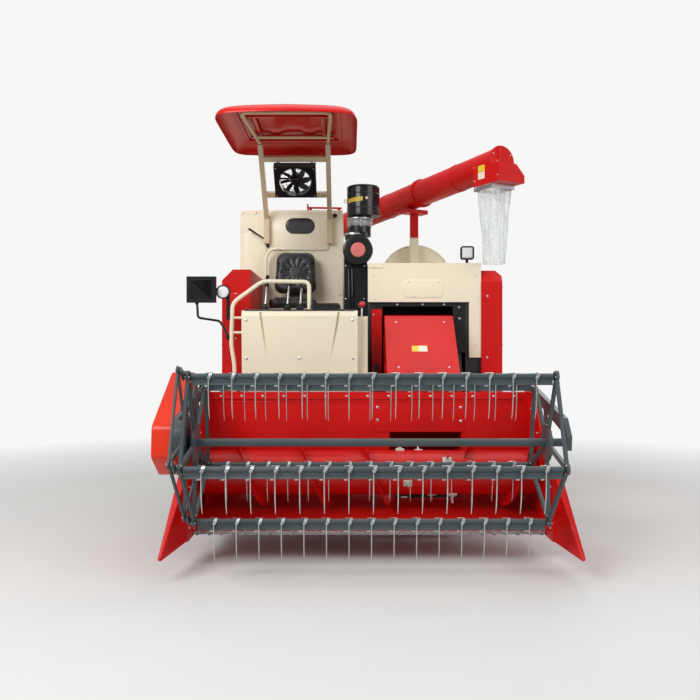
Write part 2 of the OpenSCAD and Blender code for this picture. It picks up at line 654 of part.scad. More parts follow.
// Unloader
module along_tube() {
    translate([elevator[0], elevator[1], tube_z]) rotate([0, 0, swing_dir]) rotate([0, -tube_tilt, 0])
        children();
}
module unloader_elevator() {
    color(red) place() translate([elevator[0], elevator[1], 0]) {
        translate([0, 0, 780]) cylinder(h = tube_z - 190 - 780, r = tube_r);
        translate([0, 0, 700]) cylinder(h = 100, r = tube_r + 14);
        translate([0, 0, tube_z - 230]) cylinder(h = 40, r = tube_r + 14);
        translate([-60, tank_y[1] - elevator[1] + seat_gap, 1800]) cube([120, 60, 200]);
    }
}
module unloader_elbow() {
    color(red) place() translate([elevator[0], elevator[1], 0]) {
        translate([0, 0, tube_z - 190 + seat_gap]) cylinder(h = 30, r = tube_r + 14);
        translate([0, 0, tube_z - 161]) cylinder(h = 161, r = tube_r - 20);
        translate([0, 0, tube_z]) sphere(r = tube_r);
        rotate([0, 0, swing_dir]) {
            translate([0, -tube_r - 30, tube_z]) rotate([-90, 0, 0]) cylinder(h = 2 * tube_r + 60, r = trunnion_r);
            // Mast that carries the lift cylinder above the tube
            for (y = [-26, 38]) translate([0, y, tube_z]) rotate([90, 0, 0]) linear_extrude(12)
                polygon([[-tube_r + 12, -20], [-40, 60], [lug_at[0] + 24, lug_at[1] - 24],
                    [lug_at[0] + 20, lug_at[1] + 22], [lug_at[0] - 20, lug_at[1] + 22], [-tube_r - 40, -140],
                    [-tube_r + 12, -140]]);
            translate([lug_at[0], -38, tube_z + lug_at[1]]) rotate([-90, 0, 0]) cylinder(h = 76, r = lift_pin_r);
        }
    }
}
module unloader_tube() {
    color(red) place() difference() {
        union() {
            along_tube() tube_and_ears();
            at_sleeve() head_block();
        }
        // The grain's way down through tube and head, and the seat of the sleeve
        at_sleeve() translate([-sleeve[0] / 2 - seat_gap, -sleeve[1] / 2 - seat_gap, -outlet_drop - 1])
            cube([sleeve[0] + 2 * seat_gap, sleeve[1] + 2 * seat_gap, outlet_drop - 60]);
    }
}
module at_sleeve() {
    translate([sleeve_c[0], sleeve_c[1], outlet_z]) rotate([0, 0, swing_dir]) children();
}
// Outlet head: a box under the end of the tube, one upper edge slanted off
module head_block() {
    translate([-100, 0, 0]) rotate([90, 0, 90]) linear_extrude(310) polygon([[-outlet_half, -outlet_drop],
        [outlet_half, -outlet_drop], [outlet_half, -120], [45, -38], [-outlet_half, -38]]);
}
module tube_and_ears() {
        difference() {
            union() {
                translate([60, 0, 0]) rotate([0, 90, 0]) cylinder(h = tube_end - 60, r = tube_r);
                for (s = [-1, 1]) {
                    translate([0, s < 0 ? -tube_r - clear - 14 : tube_r + clear, 0]) rotate([-90, 0, 0])
                        cylinder(h = 14, r = 50);
                    translate([0, s < 0 ? -tube_r - clear - 14 : tube_r + clear, -50]) cube([260, 14, 100]);
                    translate([200, s < 0 ? -tube_r - clear - 13 : 0, -40]) cube([60, tube_r + clear + 13, 80]);
                }
            }
            sphere(r = tube_r + clear);
            translate([0, 0, -220]) cylinder(h = 220, r = tube_r - 4);
            translate([0, -tube_r - 60, 0]) rotate([-90, 0, 0])
                cylinder(h = 2 * tube_r + 120, r = trunnion_r + run_gap);
        }
        for (u = [260, rest_at + 120]) translate([u, 0, 0]) rotate([0, 90, 0]) cylinder(h = 24, r = tube_r + flange);
        // Ears and pin of the lift cylinder
        for (y = [-30, 18]) translate([lift_eye[0] - 30, y, tube_r - 14]) cube([60, 12, lift_eye[1] - tube_r + 34]);
        translate([lift_eye[0], -32, lift_eye[1]]) rotate([-90, 0, 0]) cylinder(h = 64, r = lift_pin_r);
}
module discharge_sleeve() {
    color(glass) place() translate([sleeve_c[0], sleeve_c[1], sleeve_low]) rotate([0, 0, swing_dir])
        difference() {
            translate([-sleeve[0] / 2, -sleeve[1] / 2, 0])
                cube([sleeve[0], sleeve[1], outlet_z - outlet_drop + 30 - sleeve_low]);
            translate([-sleeve[0] / 2 + 6, -sleeve[1] / 2 + 6, -1])
                cube([sleeve[0] - 12, sleeve[1] - 12, outlet_z - sleeve_low]);
        }
}
module unloader_post() {
    p = [elevator[0] + rest_at * cos(swing_dir), elevator[1] + rest_at * sin(swing_dir)];
    top = tube_z + rest_at * tan(tube_tilt) - tube_r;
    color(red) place() {
        block([p[0] - 36, p[0] + 36], [p[1] - 36, p[1] + 36], [thresher_top + seat_gap, top - 50]);
        translate([p[0], p[1], top - 50]) rotate([0, 0, swing_dir]) {
            translate([-60, -110, 0]) cube([120, 220, 36]);
        }
    }
}

// Header
module feeder_house() {
    front = back_y + sheet + seat_gap;
    behind = back_y + beam + seat_gap;
    outer = [[front, 262], [front, 800], [behind, 800], [behind, 1120], [1180, 1625], [1330, 1640]];
    color(red) place() difference() {
        union() {
            side_plate(feeder_x, concat(outer, [[lift_y, lift_z + feeder_end_r], [lift_y + 100, lift_z],
                [1560, 1330], [1500, 1180], [760, 300], [740, 262]]));
            x_rod(feeder_x, lift_y, lift_z, feeder_end_r);
        }
        side_plate([feeder_x[0] + sheet, feeder_x[1] - sheet], [[back_y, 275], [back_y, 780],
            [1290, 1320], [1700, 1500], [1700, 1330], [1480, 1200], [745, 275]]);
        x_rod([feeder_x[0] - 1, feeder_x[1] + 1], lift_y, lift_z, 25 + run_gap);
    }
}
module header_frame() {
    x = [-header_in + seat_gap, header_in - seat_gap];
    low = auger_z - trough_r;
    color(red) place() {
        // Trough: sloping floor, curve under the auger, back wall with the feeder's mouth
        difference() {
            union() {
                difference() {
                    x_rod(x, auger_y, auger_z, trough_r + sheet);
                    x_rod([x[0] - 1, x[1] + 1], auger_y, auger_z, trough_r);
                    block([x[0] - 2, x[1] + 2], [-400, 1200], [auger_z, 1200]);
                    block([x[0] - 2, x[1] + 2], [-400, auger_y], [0, 1200]);
                }
                side_plate(x, [[90 + seat_gap, knife_z - 18], [auger_y, low - sheet], [auger_y, low],
                    [90 + seat_gap, knife_z - 6]]);
                block(x, [back_y, back_y + sheet], [auger_z, back_top]);
            }
            block([feeder_x[0] + sheet, feeder_x[1] - sheet], [auger_y + 120, back_y + 50], [275, 780]);
        }
        block(x, [back_y, back_y + beam], [back_top - beam, back_top]);
        for (k = [-1, 1]) block([k > 0 ? feeder_x[1] + 30 : x[0], k > 0 ? x[1] : feeder_x[0] - 30],
            [back_y + sheet - 1, back_y + beam], [auger_z + 10, auger_z + 10 + beam]);
        // Lugs for the lift cylinder
        for (x = [lift_b[0] - 42, lift_b[0] + 30]) side_plate([x, x + 12], [[400, trough_under(400)],
            [560, 222], [700, 206], [lift_b[1] + 15, 228], [lift_b[1] + 26, 280], [lift_b[1] - 5, 288], [lift_b[1] - 30, 262],
            [back_y + 100, 244], [back_y + 10, 244], [560, 259], [490, trough_under(490)]]);
        x_rod([lift_b[0] - 46, lift_b[0] + 46], lift_b[1], lift_b[2], header_pin_r);
    }
}
// Height inside the trough's sheet at y
function trough_under(y) = auger_z - sqrt(pow(trough_r + sheet / 2, 2) - pow(y - auger_y, 2));
module header_ends() {
    color(red) place() for (s = [-1, 1]) {
        inside = s * header_in;
        outside = s * (header_in + sheet);
        side_shape(s < 0 ? [outside, inside] : [inside, outside]) difference() {
            polygon([[-110, 165], [back_y + beam, 165], [back_y + beam, back_top], [420, back_top],
                [60, 640], [-110, 570]]);
            translate([auger_y, auger_z]) circle(r = auger_pin_r + run_gap);
        }
        // Crop divider
        hull() {
            side_plate(s < 0 ? [-header_in - 60, outside] : [outside, header_in + 60], [[-110, 165],
                [120, 165], [120, 520], [-110, 575]]);
            translate([s * (header_in + 95), -divider_len, 145]) sphere(r = 14, $fn = 16);
        }
        // Bracket and pin of the reel arm, and the foot of the reel's cylinder
        side_plate(s < 0 ? [-reel_side - 70, -reel_side - 50] : [reel_side + 50, reel_side + 70], arm_bracket());
        block(s < 0 ? [-reel_side - 70, outside + 1] : [outside - 1, reel_side + 70],
            [back_y, back_y + beam], [back_top - beam, back_top]);
        x_rod(s < 0 ? [-reel_side - 70, -reel_side - 10] : [reel_side + 10, reel_side + 70], arm_pivot[0],
            arm_pivot[1], 14);
        x_rod(s < 0 ? [-reel_side - 50, outside + 10] : [outside - 10, reel_side + 50], cyl_foot[0], cyl_foot[1],
            reel_foot_r);
    }
}
function arm_bracket() = [[back_y, back_top - 10], [back_y + beam, back_top - 10],
    [back_y + beam, arm_pivot[1] + 30], [back_y + 10, arm_pivot[1] + 30]];
cyl_foot = [300, 470];
reel_eye = [140, 895];
reel_foot_r = 12;
reel_eye_r = 9;
module knife_bar() {
    color(steel) place() {
        block([-header_in + 5, header_in - 5], [36, 90], [knife_z - 18, knife_z - 4]);
        n = floor((header_w - 60) / guard_pitch);
        for (k = [0:n]) translate([(k - n / 2) * guard_pitch, 0, knife_z - 14])
            linear_extrude(18) polygon([[-11, 60], [11, 60], [11, 42], [2, 0], [-2, 0], [-11, 42]]);
        for (k = [0:n - 1]) translate([(k - n / 2 + 0.5) * guard_pitch, 0, knife_z - 4])
            linear_extrude(4) polygon([[-30, 60], [30, 60], [6, 12], [-6, 12]]);
        block([-header_in + 8, header_in - 8], [58, 84], [knife_z - 5, knife_z + 4]);
    }
}
module header_auger() {
    x = [-header_in + 14, header_in - 14];
    color(red) place() {
        x_rod(x, auger_y, auger_z, auger_drum_r);
        x_rod([-header_in - 8, header_in + 8], auger_y, auger_z, auger_pin_r);
        for (s = [-1, 1]) {
            from = s < 0 ? x[0] + 10 : x[1] - 10;
            len = s < 0 ? feeder_x[0] + 40 - from : from - feeder_x[1] + 40;
            translate([from, auger_y, auger_z]) rotate([0, 90 * -s, 0])
                linear_extrude(len, twist = s * 360 * len / 420, slices = ceil(len / 26))
                    translate([auger_drum_r - 12, -5]) square([auger_r - auger_drum_r + 12, 10]);
        }
        for (k = [0:9]) translate([feeder_x[0] + 70 + k * 44, auger_y, auger_z]) rotate([k * 110, 0, 0])
            cylinder(h = auger_r - 14, r = 8);
    }
}
module drive_cover() {
    color(orange) place() side_plate(cover_x, [[410, 1210], [-170, 890], [-190, 700], [20, 560],
        [back_y + 60, 560], [back_y + 90, 760], [560, 1180]]);
}

// Reel
module reel_arms() {
    color(slate) place() {
        for (s = [-1, 1]) {
            x = s < 0 ? [-reel_side - 45, -reel_side - 15] : [reel_side + 15, reel_side + 45];
            difference() {
                union() {
                    side_plate(x, [[arm_pivot[0] - 10, arm_pivot[1] - 34], [arm_pivot[0] + 5, arm_pivot[1] + 34],
                        [reel_y + 40, reel_z + 140], [reel_y - 50, reel_z + 40], [reel_y - 40, reel_z - 45],
                        [reel_y + 30, reel_z - 45], [reel_y + 90, reel_z + 60]]);
                    x_rod(x, arm_pivot[0], arm_pivot[1], 34);
                    // Lug and pin of the reel's cylinder
                    side_plate(s < 0 ? [-reel_side - 22, -reel_side - 15] : [reel_side + 15, reel_side + 22],
                        [[reel_eye[0] - 25, reel_eye[1] - 20], [reel_eye[0] + 25, reel_eye[1] - 20],
                        [reel_eye[0] + 60, 1010], [reel_eye[0] - 60, 980]]);
                }
                x_rod([x[0] - 1, x[1] + 1], arm_pivot[0], arm_pivot[1], 14 + run_gap);
                x_rod([x[0] - 1, x[1] + 1], reel_y, reel_z, shaft_r + run_gap);
            }
        }
        // Hub that the eccentric ring turns on
        difference() {
            union() {
                x_rod([-reel_side - 20, -spider_x - 37], reel_y + ring_e[0], reel_z + ring_e[1], ring_hub_r);
            }
            x_rod([-reel_side - 30, -spider_x - 30], reel_y, reel_z, shaft_r + clear);
        }
        for (s = [-1, 1]) x_rod(s < 0 ? [-reel_side - 46, -reel_side - 15] : [reel_side + 15, reel_side + 46],
            reel_eye[0], reel_eye[1], reel_eye_r);
        // Cross tube on two risers
        x_rod([-reel_side - 45, reel_side + 45], arm_pivot[0] - 80, arm_pivot[1] + 62, 22);
        for (s = [-1, 1]) side_shape(s < 0 ? [-reel_side - 45, -reel_side - 30] : [reel_side + 30, reel_side + 45])
            bar([arm_pivot[0] - 60, arm_pivot[1] - 5], [arm_pivot[0] - 80, arm_pivot[1] + 62], 50);
    }
}
// A flat wheel of straight rims and arms through the bars' places, moved by off; lobes at the bars
function lobes(off, rim, r, n = 14) = [for (i = [0:bar_count - 1], t = [0:n])
    let(a = bar_angle + i * 360 / bar_count, q = 180 / bar_count + acos(rim / 2 / r))
        bar_at(i) + off + r * dir(a - q + 2 * q * t / n)];
function window(i, off, rim, arm, hub) = let(c = [reel_y, reel_z] + off, half = 180 / bar_count,
    a = bar_angle + i * 2 * half, inset = asin(arm / 2 / hub),
    out = (reel_r * cos(half) - rim / 2 - arm / 2 * sin(half)) / cos(half))
    concat([for (t = [0:8]) c + hub * dir(a + inset + 2 * (half - inset) * t / 8)],
        [c + out * dir(a + 2 * half) + arm / 2 * dir(a + 2 * half - 90), c + out * dir(a) + arm / 2 * dir(a + 90)]);
module reel_wheel(x, off, rim, arm, lobe, hub, hole) {
    side_shape(x) difference() {
        polygon(lobes(off, rim, lobe));
        for (i = [0:bar_count - 1]) polygon(window(i, off, rim, arm, hub));
        for (i = [0:bar_count - 1]) translate(bar_at(i) + off) circle(r = hole);
        if (off != [0, 0]) translate([reel_y, reel_z] + off) circle(r = ring_hub_r + run_gap);
    }
}
module reel_rotor() {
    color(slate) place() {
        x_rod([-reel_side - 42, reel_side + 42], reel_y, reel_z, shaft_r);
        for (s = [-1, 1]) reel_wheel([s * spider_x - 9, s * spider_x + 9], [0, 0], 26, 30, 32, 110,
            tube_bar_r + run_gap);
    }
}
module tine_bar(i) {
    p = bar_at(i);
    color(slate) place() translate([0, p[0], p[1]]) {
        x_rod([-spider_x - 34, spider_x + 14], 0, 0, tube_bar_r);
        block([-bar_len / 2, bar_len / 2], [-4, 4], [-bar_h + tube_bar_r, -tube_bar_r + 2]);
        for (k = [0:tines - 1]) translate([(k - (tines - 1) / 2) * tine_pitch, 0, 0]) {
            block([-11, 11], [-20, 20], [-bar_h + tube_bar_r + 8, tube_bar_r + 3]);
            rod([0, -12, 0], [0, -10, -tine_len * 0.62], tine_r);
            rod([0, -10, -tine_len * 0.62], [0, 22, -tine_len - 30], tine_r);
            translate([0, -10, -tine_len * 0.62]) sphere(r = tine_r);
        }
        // Crank that the eccentric ring steers
        side_shape([-spider_x - 34, -spider_x - 22]) {
            bar([0, 0], ring_e, 32);
            circle(r = 22);
            translate(ring_e) circle(r = 18);
        }
        x_rod([-spider_x - 50, -spider_x - 22], ring_e[0], ring_e[1], crank_pin_r);
    }
}
module tine_bar_1() { tine_bar(0); }
module tine_bar_2() { tine_bar(1); }
module tine_bar_3() { tine_bar(2); }
module tine_bar_4() { tine_bar(3); }
module tine_bar_5() { tine_bar(4); }
module eccentric_ring() {
    color(slate) place() reel_wheel([-spider_x - 51, -spider_x - 39], ring_e, 22, 24, 24, ring_hub_r + 28,
        crank_pin_r + run_gap);
}

// Lift cylinders: the eye of each rod lies on its pin
module cylinder_parts(a, b, r, share, start, rod_part) {
    d = (b - a) / norm(b - a);
    split = norm(b - a) * share;
    if (!rod_part) difference() {
        rod(a + d * (r > 30 || r < 20 ? 22 : 19), a + d * split, r);
        rod(a + d * 40, a + d * (split + 1), r * 0.5 + run_gap);
    }
    if (rod_part) rod(a + d * start, b - d * (eye_play + r * 0.5 + 3), r * 0.5);
}
module eye(p, x, r, play) {
    difference() {
        x_rod([p[0] - x / 2, p[0] + x / 2], p[1], p[2], r * 1.5 + play + 6);
        x_rod([p[0] - x, p[0] + x], p[1], p[2], r + play);
    }
}
reel_cyl = [for (s = [-1, 1]) [[s * (reel_side + 34), cyl_foot[0], cyl_foot[1]],
    [s * (reel_side + 34), reel_eye[0], reel_eye[1]]]];
module in_swing() { place() translate([elevator[0], elevator[1], tube_z]) rotate([0, 0, swing_dir]) children(); }
eye_out = [lift_eye[0] * cos(tube_tilt) - lift_eye[1] * sin(tube_tilt),
           lift_eye[0] * sin(tube_tilt) + lift_eye[1] * cos(tube_tilt)];
module cross_eye(p, r, play) {
    translate([p[0], 0, p[1]]) difference() {
        translate([0, -14, 0]) rotate([-90, 0, 0]) cylinder(h = 28, r = r * 1.5 + play + 5);
        translate([0, -20, 0]) rotate([-90, 0, 0]) cylinder(h = 40, r = r + play);
    }
}
module unloader_barrel() {
    color(black) in_swing() {
        cylinder_parts([lug_at[0], 0, lug_at[1]], [eye_out[0], 0, eye_out[1]], 22, 0.6, 140, false);
        cross_eye(lug_at, lift_pin_r, run_gap);
    }
}
module unloader_rod() {
    color(zinc) in_swing() {
        cylinder_parts([lug_at[0], 0, lug_at[1]], [eye_out[0], 0, eye_out[1]], 22, 0.6, 140, true);
        cross_eye(eye_out, lift_pin_r, eye_play);
    }
}
module header_barrel() {
    color(black) place() {
        cylinder_parts(lift_a, lift_b, 34, 0.7, 92, false);
        eye(lift_a, 76, header_pin_r, run_gap);
    }
}
module header_rod() {
    color(zinc) place() {
        cylinder_parts(lift_a, lift_b, 34, 0.7, 92, true);
        eye(lift_b, 46, header_pin_r, eye_play);
    }
}
module reel_barrels() {
    color(black) place() for (c = reel_cyl) {
        cylinder_parts(c[0], c[1], 15, 0.82, 60, false);
        eye(c[0], 20, reel_foot_r, run_gap);
    }
}
module reel_rods() {
    color(zinc) place() for (c = reel_cyl) {
        cylinder_parts(c[0], c[1], 15, 0.82, 60, true);
        eye(c[1], 20, reel_eye_r, eye_play);
    }
}

chassis_frame();
gearbox();
track_left();
track_right();
track_frame_left();
track_frame_right();
engine_block();
engine_housing();
screen_door();
platform();
console();
handrail();
levers();
mirror();
seat_base();
seat_cushion();
seat_back();
canopy();
canopy_frame();
fan_frame();
fan_rotor();
grain_tank();
air_intake();
thresher_body();
drum_cover();
front_panel();
belt_cover();
side_door();
straw_hood();
work_lamps();
unloader_post();
unloader_elevator();
unloader_elbow();
unloader_tube();
discharge_sleeve();
unloader_barrel();
unloader_rod();
feeder_house();
header_frame();
header_ends();
knife_bar();
header_auger();
drive_cover();
reel_arms();
reel_rotor();
tine_bar_1();
tine_bar_2();
tine_bar_3();
tine_bar_4();
tine_bar_5();
eccentric_ring();
header_barrel();
header_rod();
reel_barrels();
reel_rods();
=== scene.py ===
# %% [markdown]
# A tracked rice combine, seen from in front of its reel. Its frame, panels, tubes and moving parts come from
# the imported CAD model, and this script dresses them: paint, dust, bolts, pressed panels, tines and guards,
# a padded seat and a clear sleeve. The frame is loaded first, so every later size can be read from it.

# %% Load the frame
import json
import math

import bmesh
import bpy
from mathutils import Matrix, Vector, noise


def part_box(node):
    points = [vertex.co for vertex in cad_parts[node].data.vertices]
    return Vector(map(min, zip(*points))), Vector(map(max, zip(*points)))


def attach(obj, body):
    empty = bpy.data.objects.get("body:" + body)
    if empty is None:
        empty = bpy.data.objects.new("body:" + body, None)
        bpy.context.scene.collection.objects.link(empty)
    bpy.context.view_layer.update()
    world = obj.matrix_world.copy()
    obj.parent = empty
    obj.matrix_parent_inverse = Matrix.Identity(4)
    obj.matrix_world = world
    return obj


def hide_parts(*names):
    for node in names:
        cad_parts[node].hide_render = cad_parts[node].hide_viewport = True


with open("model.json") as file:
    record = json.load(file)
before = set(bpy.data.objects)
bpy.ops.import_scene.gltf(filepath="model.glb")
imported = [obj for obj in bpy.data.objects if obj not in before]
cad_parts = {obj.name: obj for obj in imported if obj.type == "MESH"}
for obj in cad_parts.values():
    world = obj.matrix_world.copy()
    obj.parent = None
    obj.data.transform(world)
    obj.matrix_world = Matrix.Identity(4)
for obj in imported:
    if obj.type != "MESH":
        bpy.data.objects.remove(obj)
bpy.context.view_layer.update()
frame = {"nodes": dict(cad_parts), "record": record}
scene = bpy.context.scene
box = {name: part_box(name) for name in frame["nodes"]}
joints = {j["name"]: j for j in frame["record"]["behaviour"]["joints"]}
pivot = {name: Vector(j["pos_m"]) for name, j in joints.items() if "pos_m" in j}

# %% [markdown]
# Places are measured the way a maker would walk round the machine: across from the middle of the header,
# back from the tips of the knife's guards, and up from the ground. One function turns such a place into
# the frame's own coordinates, so every number below is a plain distance in metres. Two more give the places
# of a row or grid of bolts, and of a circle of them.

# %% Places
HEADER_MIDDLE = (box["header_auger"][0].x + box["header_auger"][1].x) / 2
KNIFE_TIPS = box["knife_bar"][0].y
HEADER_HALF = 1.135
LEFT, RIGHT = -1, 1
CORNERS = ((-1, -1), (1, -1), (1, 1), (-1, 1))
X, Y, Z = Vector((1, 0, 0)), Vector((0, 1, 0)), Vector((0, 0, 1))


def at(x, y, z):
    return Vector((HEADER_MIDDLE + x, KNIFE_TIPS + y, z))


def grid(xs, ys, zs):
    """Every place that three lists of distances give; a plain number is a list of one."""
    xs, ys, zs = (s if hasattr(s, "__len__") else (s,) for s in (xs, ys, zs))
    return [at(x, y, z) for x in xs for y in ys for z in zs]


def circle(middle, radius, count, first=0, flat=(Y, Z), turn=360):
    """Points evenly spaced round a middle in a plane given by two directions; angles in degrees."""
    angles = [math.radians(first + turn * k / count) for k in range(count)]
    return [middle + (flat[0] * math.cos(a) + flat[1] * math.sin(a)) * radius for a in angles]


print("header middle", round(HEADER_MIDDLE, 4), "knife tips", round(KNIFE_TIPS, 4))

# %% [markdown]
# The camera stands at a person's chest height, level, straight in front of the machine. Its lens is a mild
# wide angle: the machine fills the frame from five metres ahead of the knife.

# %% Camera
LENS, SENSOR = 41.14, 36
EYE = at(-0.126, -5.09, 1.36)
camera = bpy.data.objects.new("camera", bpy.data.cameras.new("camera"))
camera.data.lens, camera.data.sensor_width = LENS, SENSOR
camera.location, camera.rotation_euler = EYE, (math.radians(90), 0, 0)
scene.collection.objects.link(camera)
scene.camera = camera
print("camera at", [round(c, 3) for c in EYE])

# %% [markdown]
# Soft studio light: a large key lamp from the left front, a weaker fill from the right, a wide one overhead
# and one behind, balanced so that a panel facing the camera renders about as bright as its colour says. The
# pale backdrop is seen only directly and through clear plastic; glossy paint reflects a dimmer world.

# %% Light
KEY, FILL, TOP, WORLD_LIGHT = 580, 200, 190, 0.38
BACKDROP = (0.93, 0.93, 0.92, 1)
MACHINE = Vector((0, -0.6, 1.2))
LAMPS = {"key": ((-5.0, -6.5, 6.0), 4.5, KEY), "fill": ((6.0, -6.0, 3.5), 5.0, FILL),
         "top": ((0.5, -0.5, 7.5), 6.0, TOP), "rear": ((3.0, 8.0, 6.0), 5.0, FILL)}


def plug(tree, socket, value):
    """A socket takes a wire, a node's socket, a number or a colour."""
    value = getattr(value, "socket", value)
    if isinstance(value, bpy.types.NodeSocket):
        tree.links.new(value, socket)
    elif hasattr(value, "__len__") and len(value) == 3 and socket.type == "RGBA":
        socket.default_value = (*value, 1)
    else:
        socket.default_value = value


for name, (place, size, power) in LAMPS.items():
    light = bpy.data.lights.new(name, "AREA")
    light.size, light.energy = size, power
    holder = bpy.data.objects.new(name, light)
    holder.location = place
    holder.rotation_euler = (MACHINE - holder.location).to_track_quat("-Z", "Y").to_euler()
    scene.collection.objects.link(holder)
scene.view_settings.view_transform = "Standard"
world = bpy.data.worlds.new("studio")
scene.world = world
world.use_nodes = True
sky = world.node_tree
rays, seen, shown, chooser = (sky.nodes.new("ShaderNode" + kind)
                              for kind in ("LightPath", "Math", "Background", "MixShader"))
lit = sky.nodes["Background"]
seen.operation = "MAXIMUM"
for socket, value in ((seen.inputs[0], rays.outputs["Is Camera Ray"]),
                      (seen.inputs[1], rays.outputs["Is Transmission Ray"]),
                      (lit.inputs["Color"], (1, 1, 1, 1)), (lit.inputs["Strength"], WORLD_LIGHT),
                      (shown.inputs["Color"], BACKDROP), (shown.inputs["Strength"], 1),
                      (chooser.inputs[0], seen.outputs[0]), (chooser.inputs[1], lit.outputs[0]),
                      (chooser.inputs[2], shown.outputs[0]),
                      (sky.nodes["World Output"].inputs["Surface"], chooser.outputs[0])):
    plug(sky, socket, value)
print("lamps", len(LAMPS))

# %% [markdown]
# A shader is easiest to read as arithmetic. A Wire stands for one number that changes over a surface, and
# the usual operators on it add the Math nodes. Every other node comes from one method of Finish.

# %% Wires and finishes
class Wire:
    """One number that varies over the surface."""

    def __init__(self, tree, socket):
        self.tree, self.socket = tree, socket

    def math(self, operation, *terms, clamp=False):
        node = self.tree.nodes.new("ShaderNodeMath")
        node.operation, node.use_clamp = operation, clamp
        for socket, term in zip(node.inputs, terms):
            plug(self.tree, socket, term)
        return Wire(self.tree, node.outputs[0])

    def __add__(self, other): return self.math("ADD", self, other)
    def __sub__(self, other): return self.math("SUBTRACT", self, other)
    def __rsub__(self, other): return self.math("SUBTRACT", other, self)
    def __mul__(self, other): return self.math("MULTIPLY", self, other)
    def __rmul__(self, other): return self.math("MULTIPLY", other, self)
    def kept(self): return self.math("ADD", self, 0, clamp=True)
    def above(self, low, high): return ((self - low) * (1 / (high - low))).kept()


class Finish:
    """One material, built from its Principled shader."""

    def __init__(self, name, **constants):
        self.material = bpy.data.materials.new(name)
        self.material.use_nodes = True
        self.tree = self.material.node_tree
        self.shader = self.tree.nodes["Principled BSDF"]
        self.out(**constants)
        self.place = self.node("TexCoord").outputs["Object"]

    def out(self, **values):
        for key, value in values.items():
            plug(self.tree, self.shader.inputs[key.replace("_", " ")], value)
        return self.material

    def node(self, kind, settings=None, **sockets):
        """A new node; a socket is given by its name, or as i and its number."""
        node = self.tree.nodes.new("ShaderNode" + kind)
        for key, value in (settings or {}).items():
            setattr(node, key, value)
        for key, value in sockets.items():
            plug(self.tree, node.inputs[int(key[1:]) if key[1:].isdigit() else key], value)
        return node

    def wire(self, socket):
        return Wire(self.tree, socket)

    def speckle(self, scale, detail=3, roughness=0.55, stretch=(1, 1, 1)):
        grain = self.node("Mapping", Vector=self.place, Scale=stretch)
        cloud = self.node("TexNoise", Vector=grain.outputs[0], Scale=scale, Detail=detail, Roughness=roughness)
        return self.wire(cloud.outputs["Fac"])

    def upward(self, source):
        return self.wire(self.node("SeparateXYZ", Vector=source).outputs["Z"])

    def low(self, bottom, top):
        """One near the ground and nothing above a height."""
        return 1 - self.upward(self.place).above(bottom, top)

    def blend(self, amount, low, high):
        return self.node("Mix", {"data_type": "RGBA"}, i0=amount, i6=low, i7=high).outputs[2]

    def relief(self, height, strength, depth, radius=0):
        """A bump; with a radius it lies over edges that the Bevel node rounds."""
        sockets = {"Height": height, "Strength": strength, "Distance": depth}
        if radius:
            sockets["Normal"] = self.node("Bevel", {"samples": 4}, Radius=radius).outputs[0]
        return self.node("Bump", **sockets).outputs[0]


print("ready to mix finishes")

# %% [markdown]
# Painted sheet steel: sprayed enamel has a faint orange-peel relief and slight drifts of colour. Field dust
# settles on whatever faces up and on what is near the ground, and dulls the gloss there. Sharp CAD edges
# are shaded as small radii, as a folded sheet has them, by the Bevel node under the bump.

# %% Paint
DUST, SHEEN, PEEL = (0.40, 0.34, 0.25), 0.22, 0.12


def paint(name, colour, rough=0.32, coat=0.35, dust=0.35, drift=0.10, edge=0.003):
    f = Finish(name, Coat_Roughness=0.12, Specular_IOR_Level=SHEEN)
    broad, fine = f.speckle(1.7, 4), f.speckle(38, 3)
    facing_up = f.upward(f.node("NewGeometry").outputs["Normal"]).above(0.1, 1.0)
    settled = facing_up * 0.55 + f.low(0.2, 2.0) * 0.45 + (broad - 0.5) * 0.7 + (fine - 0.5) * 0.35
    cover = settled.above(0.30, 1.1) * dust
    dark = tuple(c * (1 - drift) for c in colour)
    light = tuple(min(1, c * (1 + drift)) for c in colour)
    tint = f.blend(broad.above(0.3, 0.7), dark, light)
    return f.out(Base_Color=f.blend(cover, tint, DUST), Roughness=(cover * 0.5 + fine * 0.08 + rough).kept(),
                 Coat_Weight=coat * (1 - cover),
                 Normal=f.relief(f.speckle(420, 1) * 0.6 + fine * 0.4, PEEL, 0.0006, edge))


FINISH = {
    "red_paint": paint("red_enamel", (0.56, 0.004, 0.003), coat=0.14, dust=0.02),
    # orange_paint is the red enamel made brighter and more orange: painted sunlight, a lit copy of the red
    "orange_paint": paint("orange_red_enamel", (0.68, 0.030, 0.006), coat=0.14, dust=0.02),
    "cream_paint": paint("ivory_enamel", (0.80, 0.73, 0.56), rough=0.38, coat=0.2, dust=0.08, drift=0.04),
    "tan_paint": paint("sand_enamel", (0.62, 0.50, 0.33), rough=0.45, coat=0.1, dust=0.15, drift=0.06),
    "slate_paint": paint("slate_blue_enamel", (0.055, 0.073, 0.082), rough=0.42, coat=0.15, dust=0.14),
    "frame_paint": paint("dark_frame_enamel", (0.035, 0.038, 0.042), rough=0.5, coat=0.05, dust=0.6, edge=0.004),
    "black_paint": paint("black_enamel", (0.012, 0.012, 0.013), rough=0.4, coat=0.2, dust=0.25),
    "black_gloss": paint("moulded_black_plastic", (0.010, 0.010, 0.011), rough=0.22, coat=0.4, dust=0.12),
}
print("paints", len(FINISH))

# %% [markdown]
# Bare and plated metal: zinc plate is bright with cloudy crystals, ground knife steel has fine scratches
# along one direction, and castings are rough. Each is a metal whose roughness and relief vary.

# %% Metals
RUST = (0.17, 0.075, 0.03)


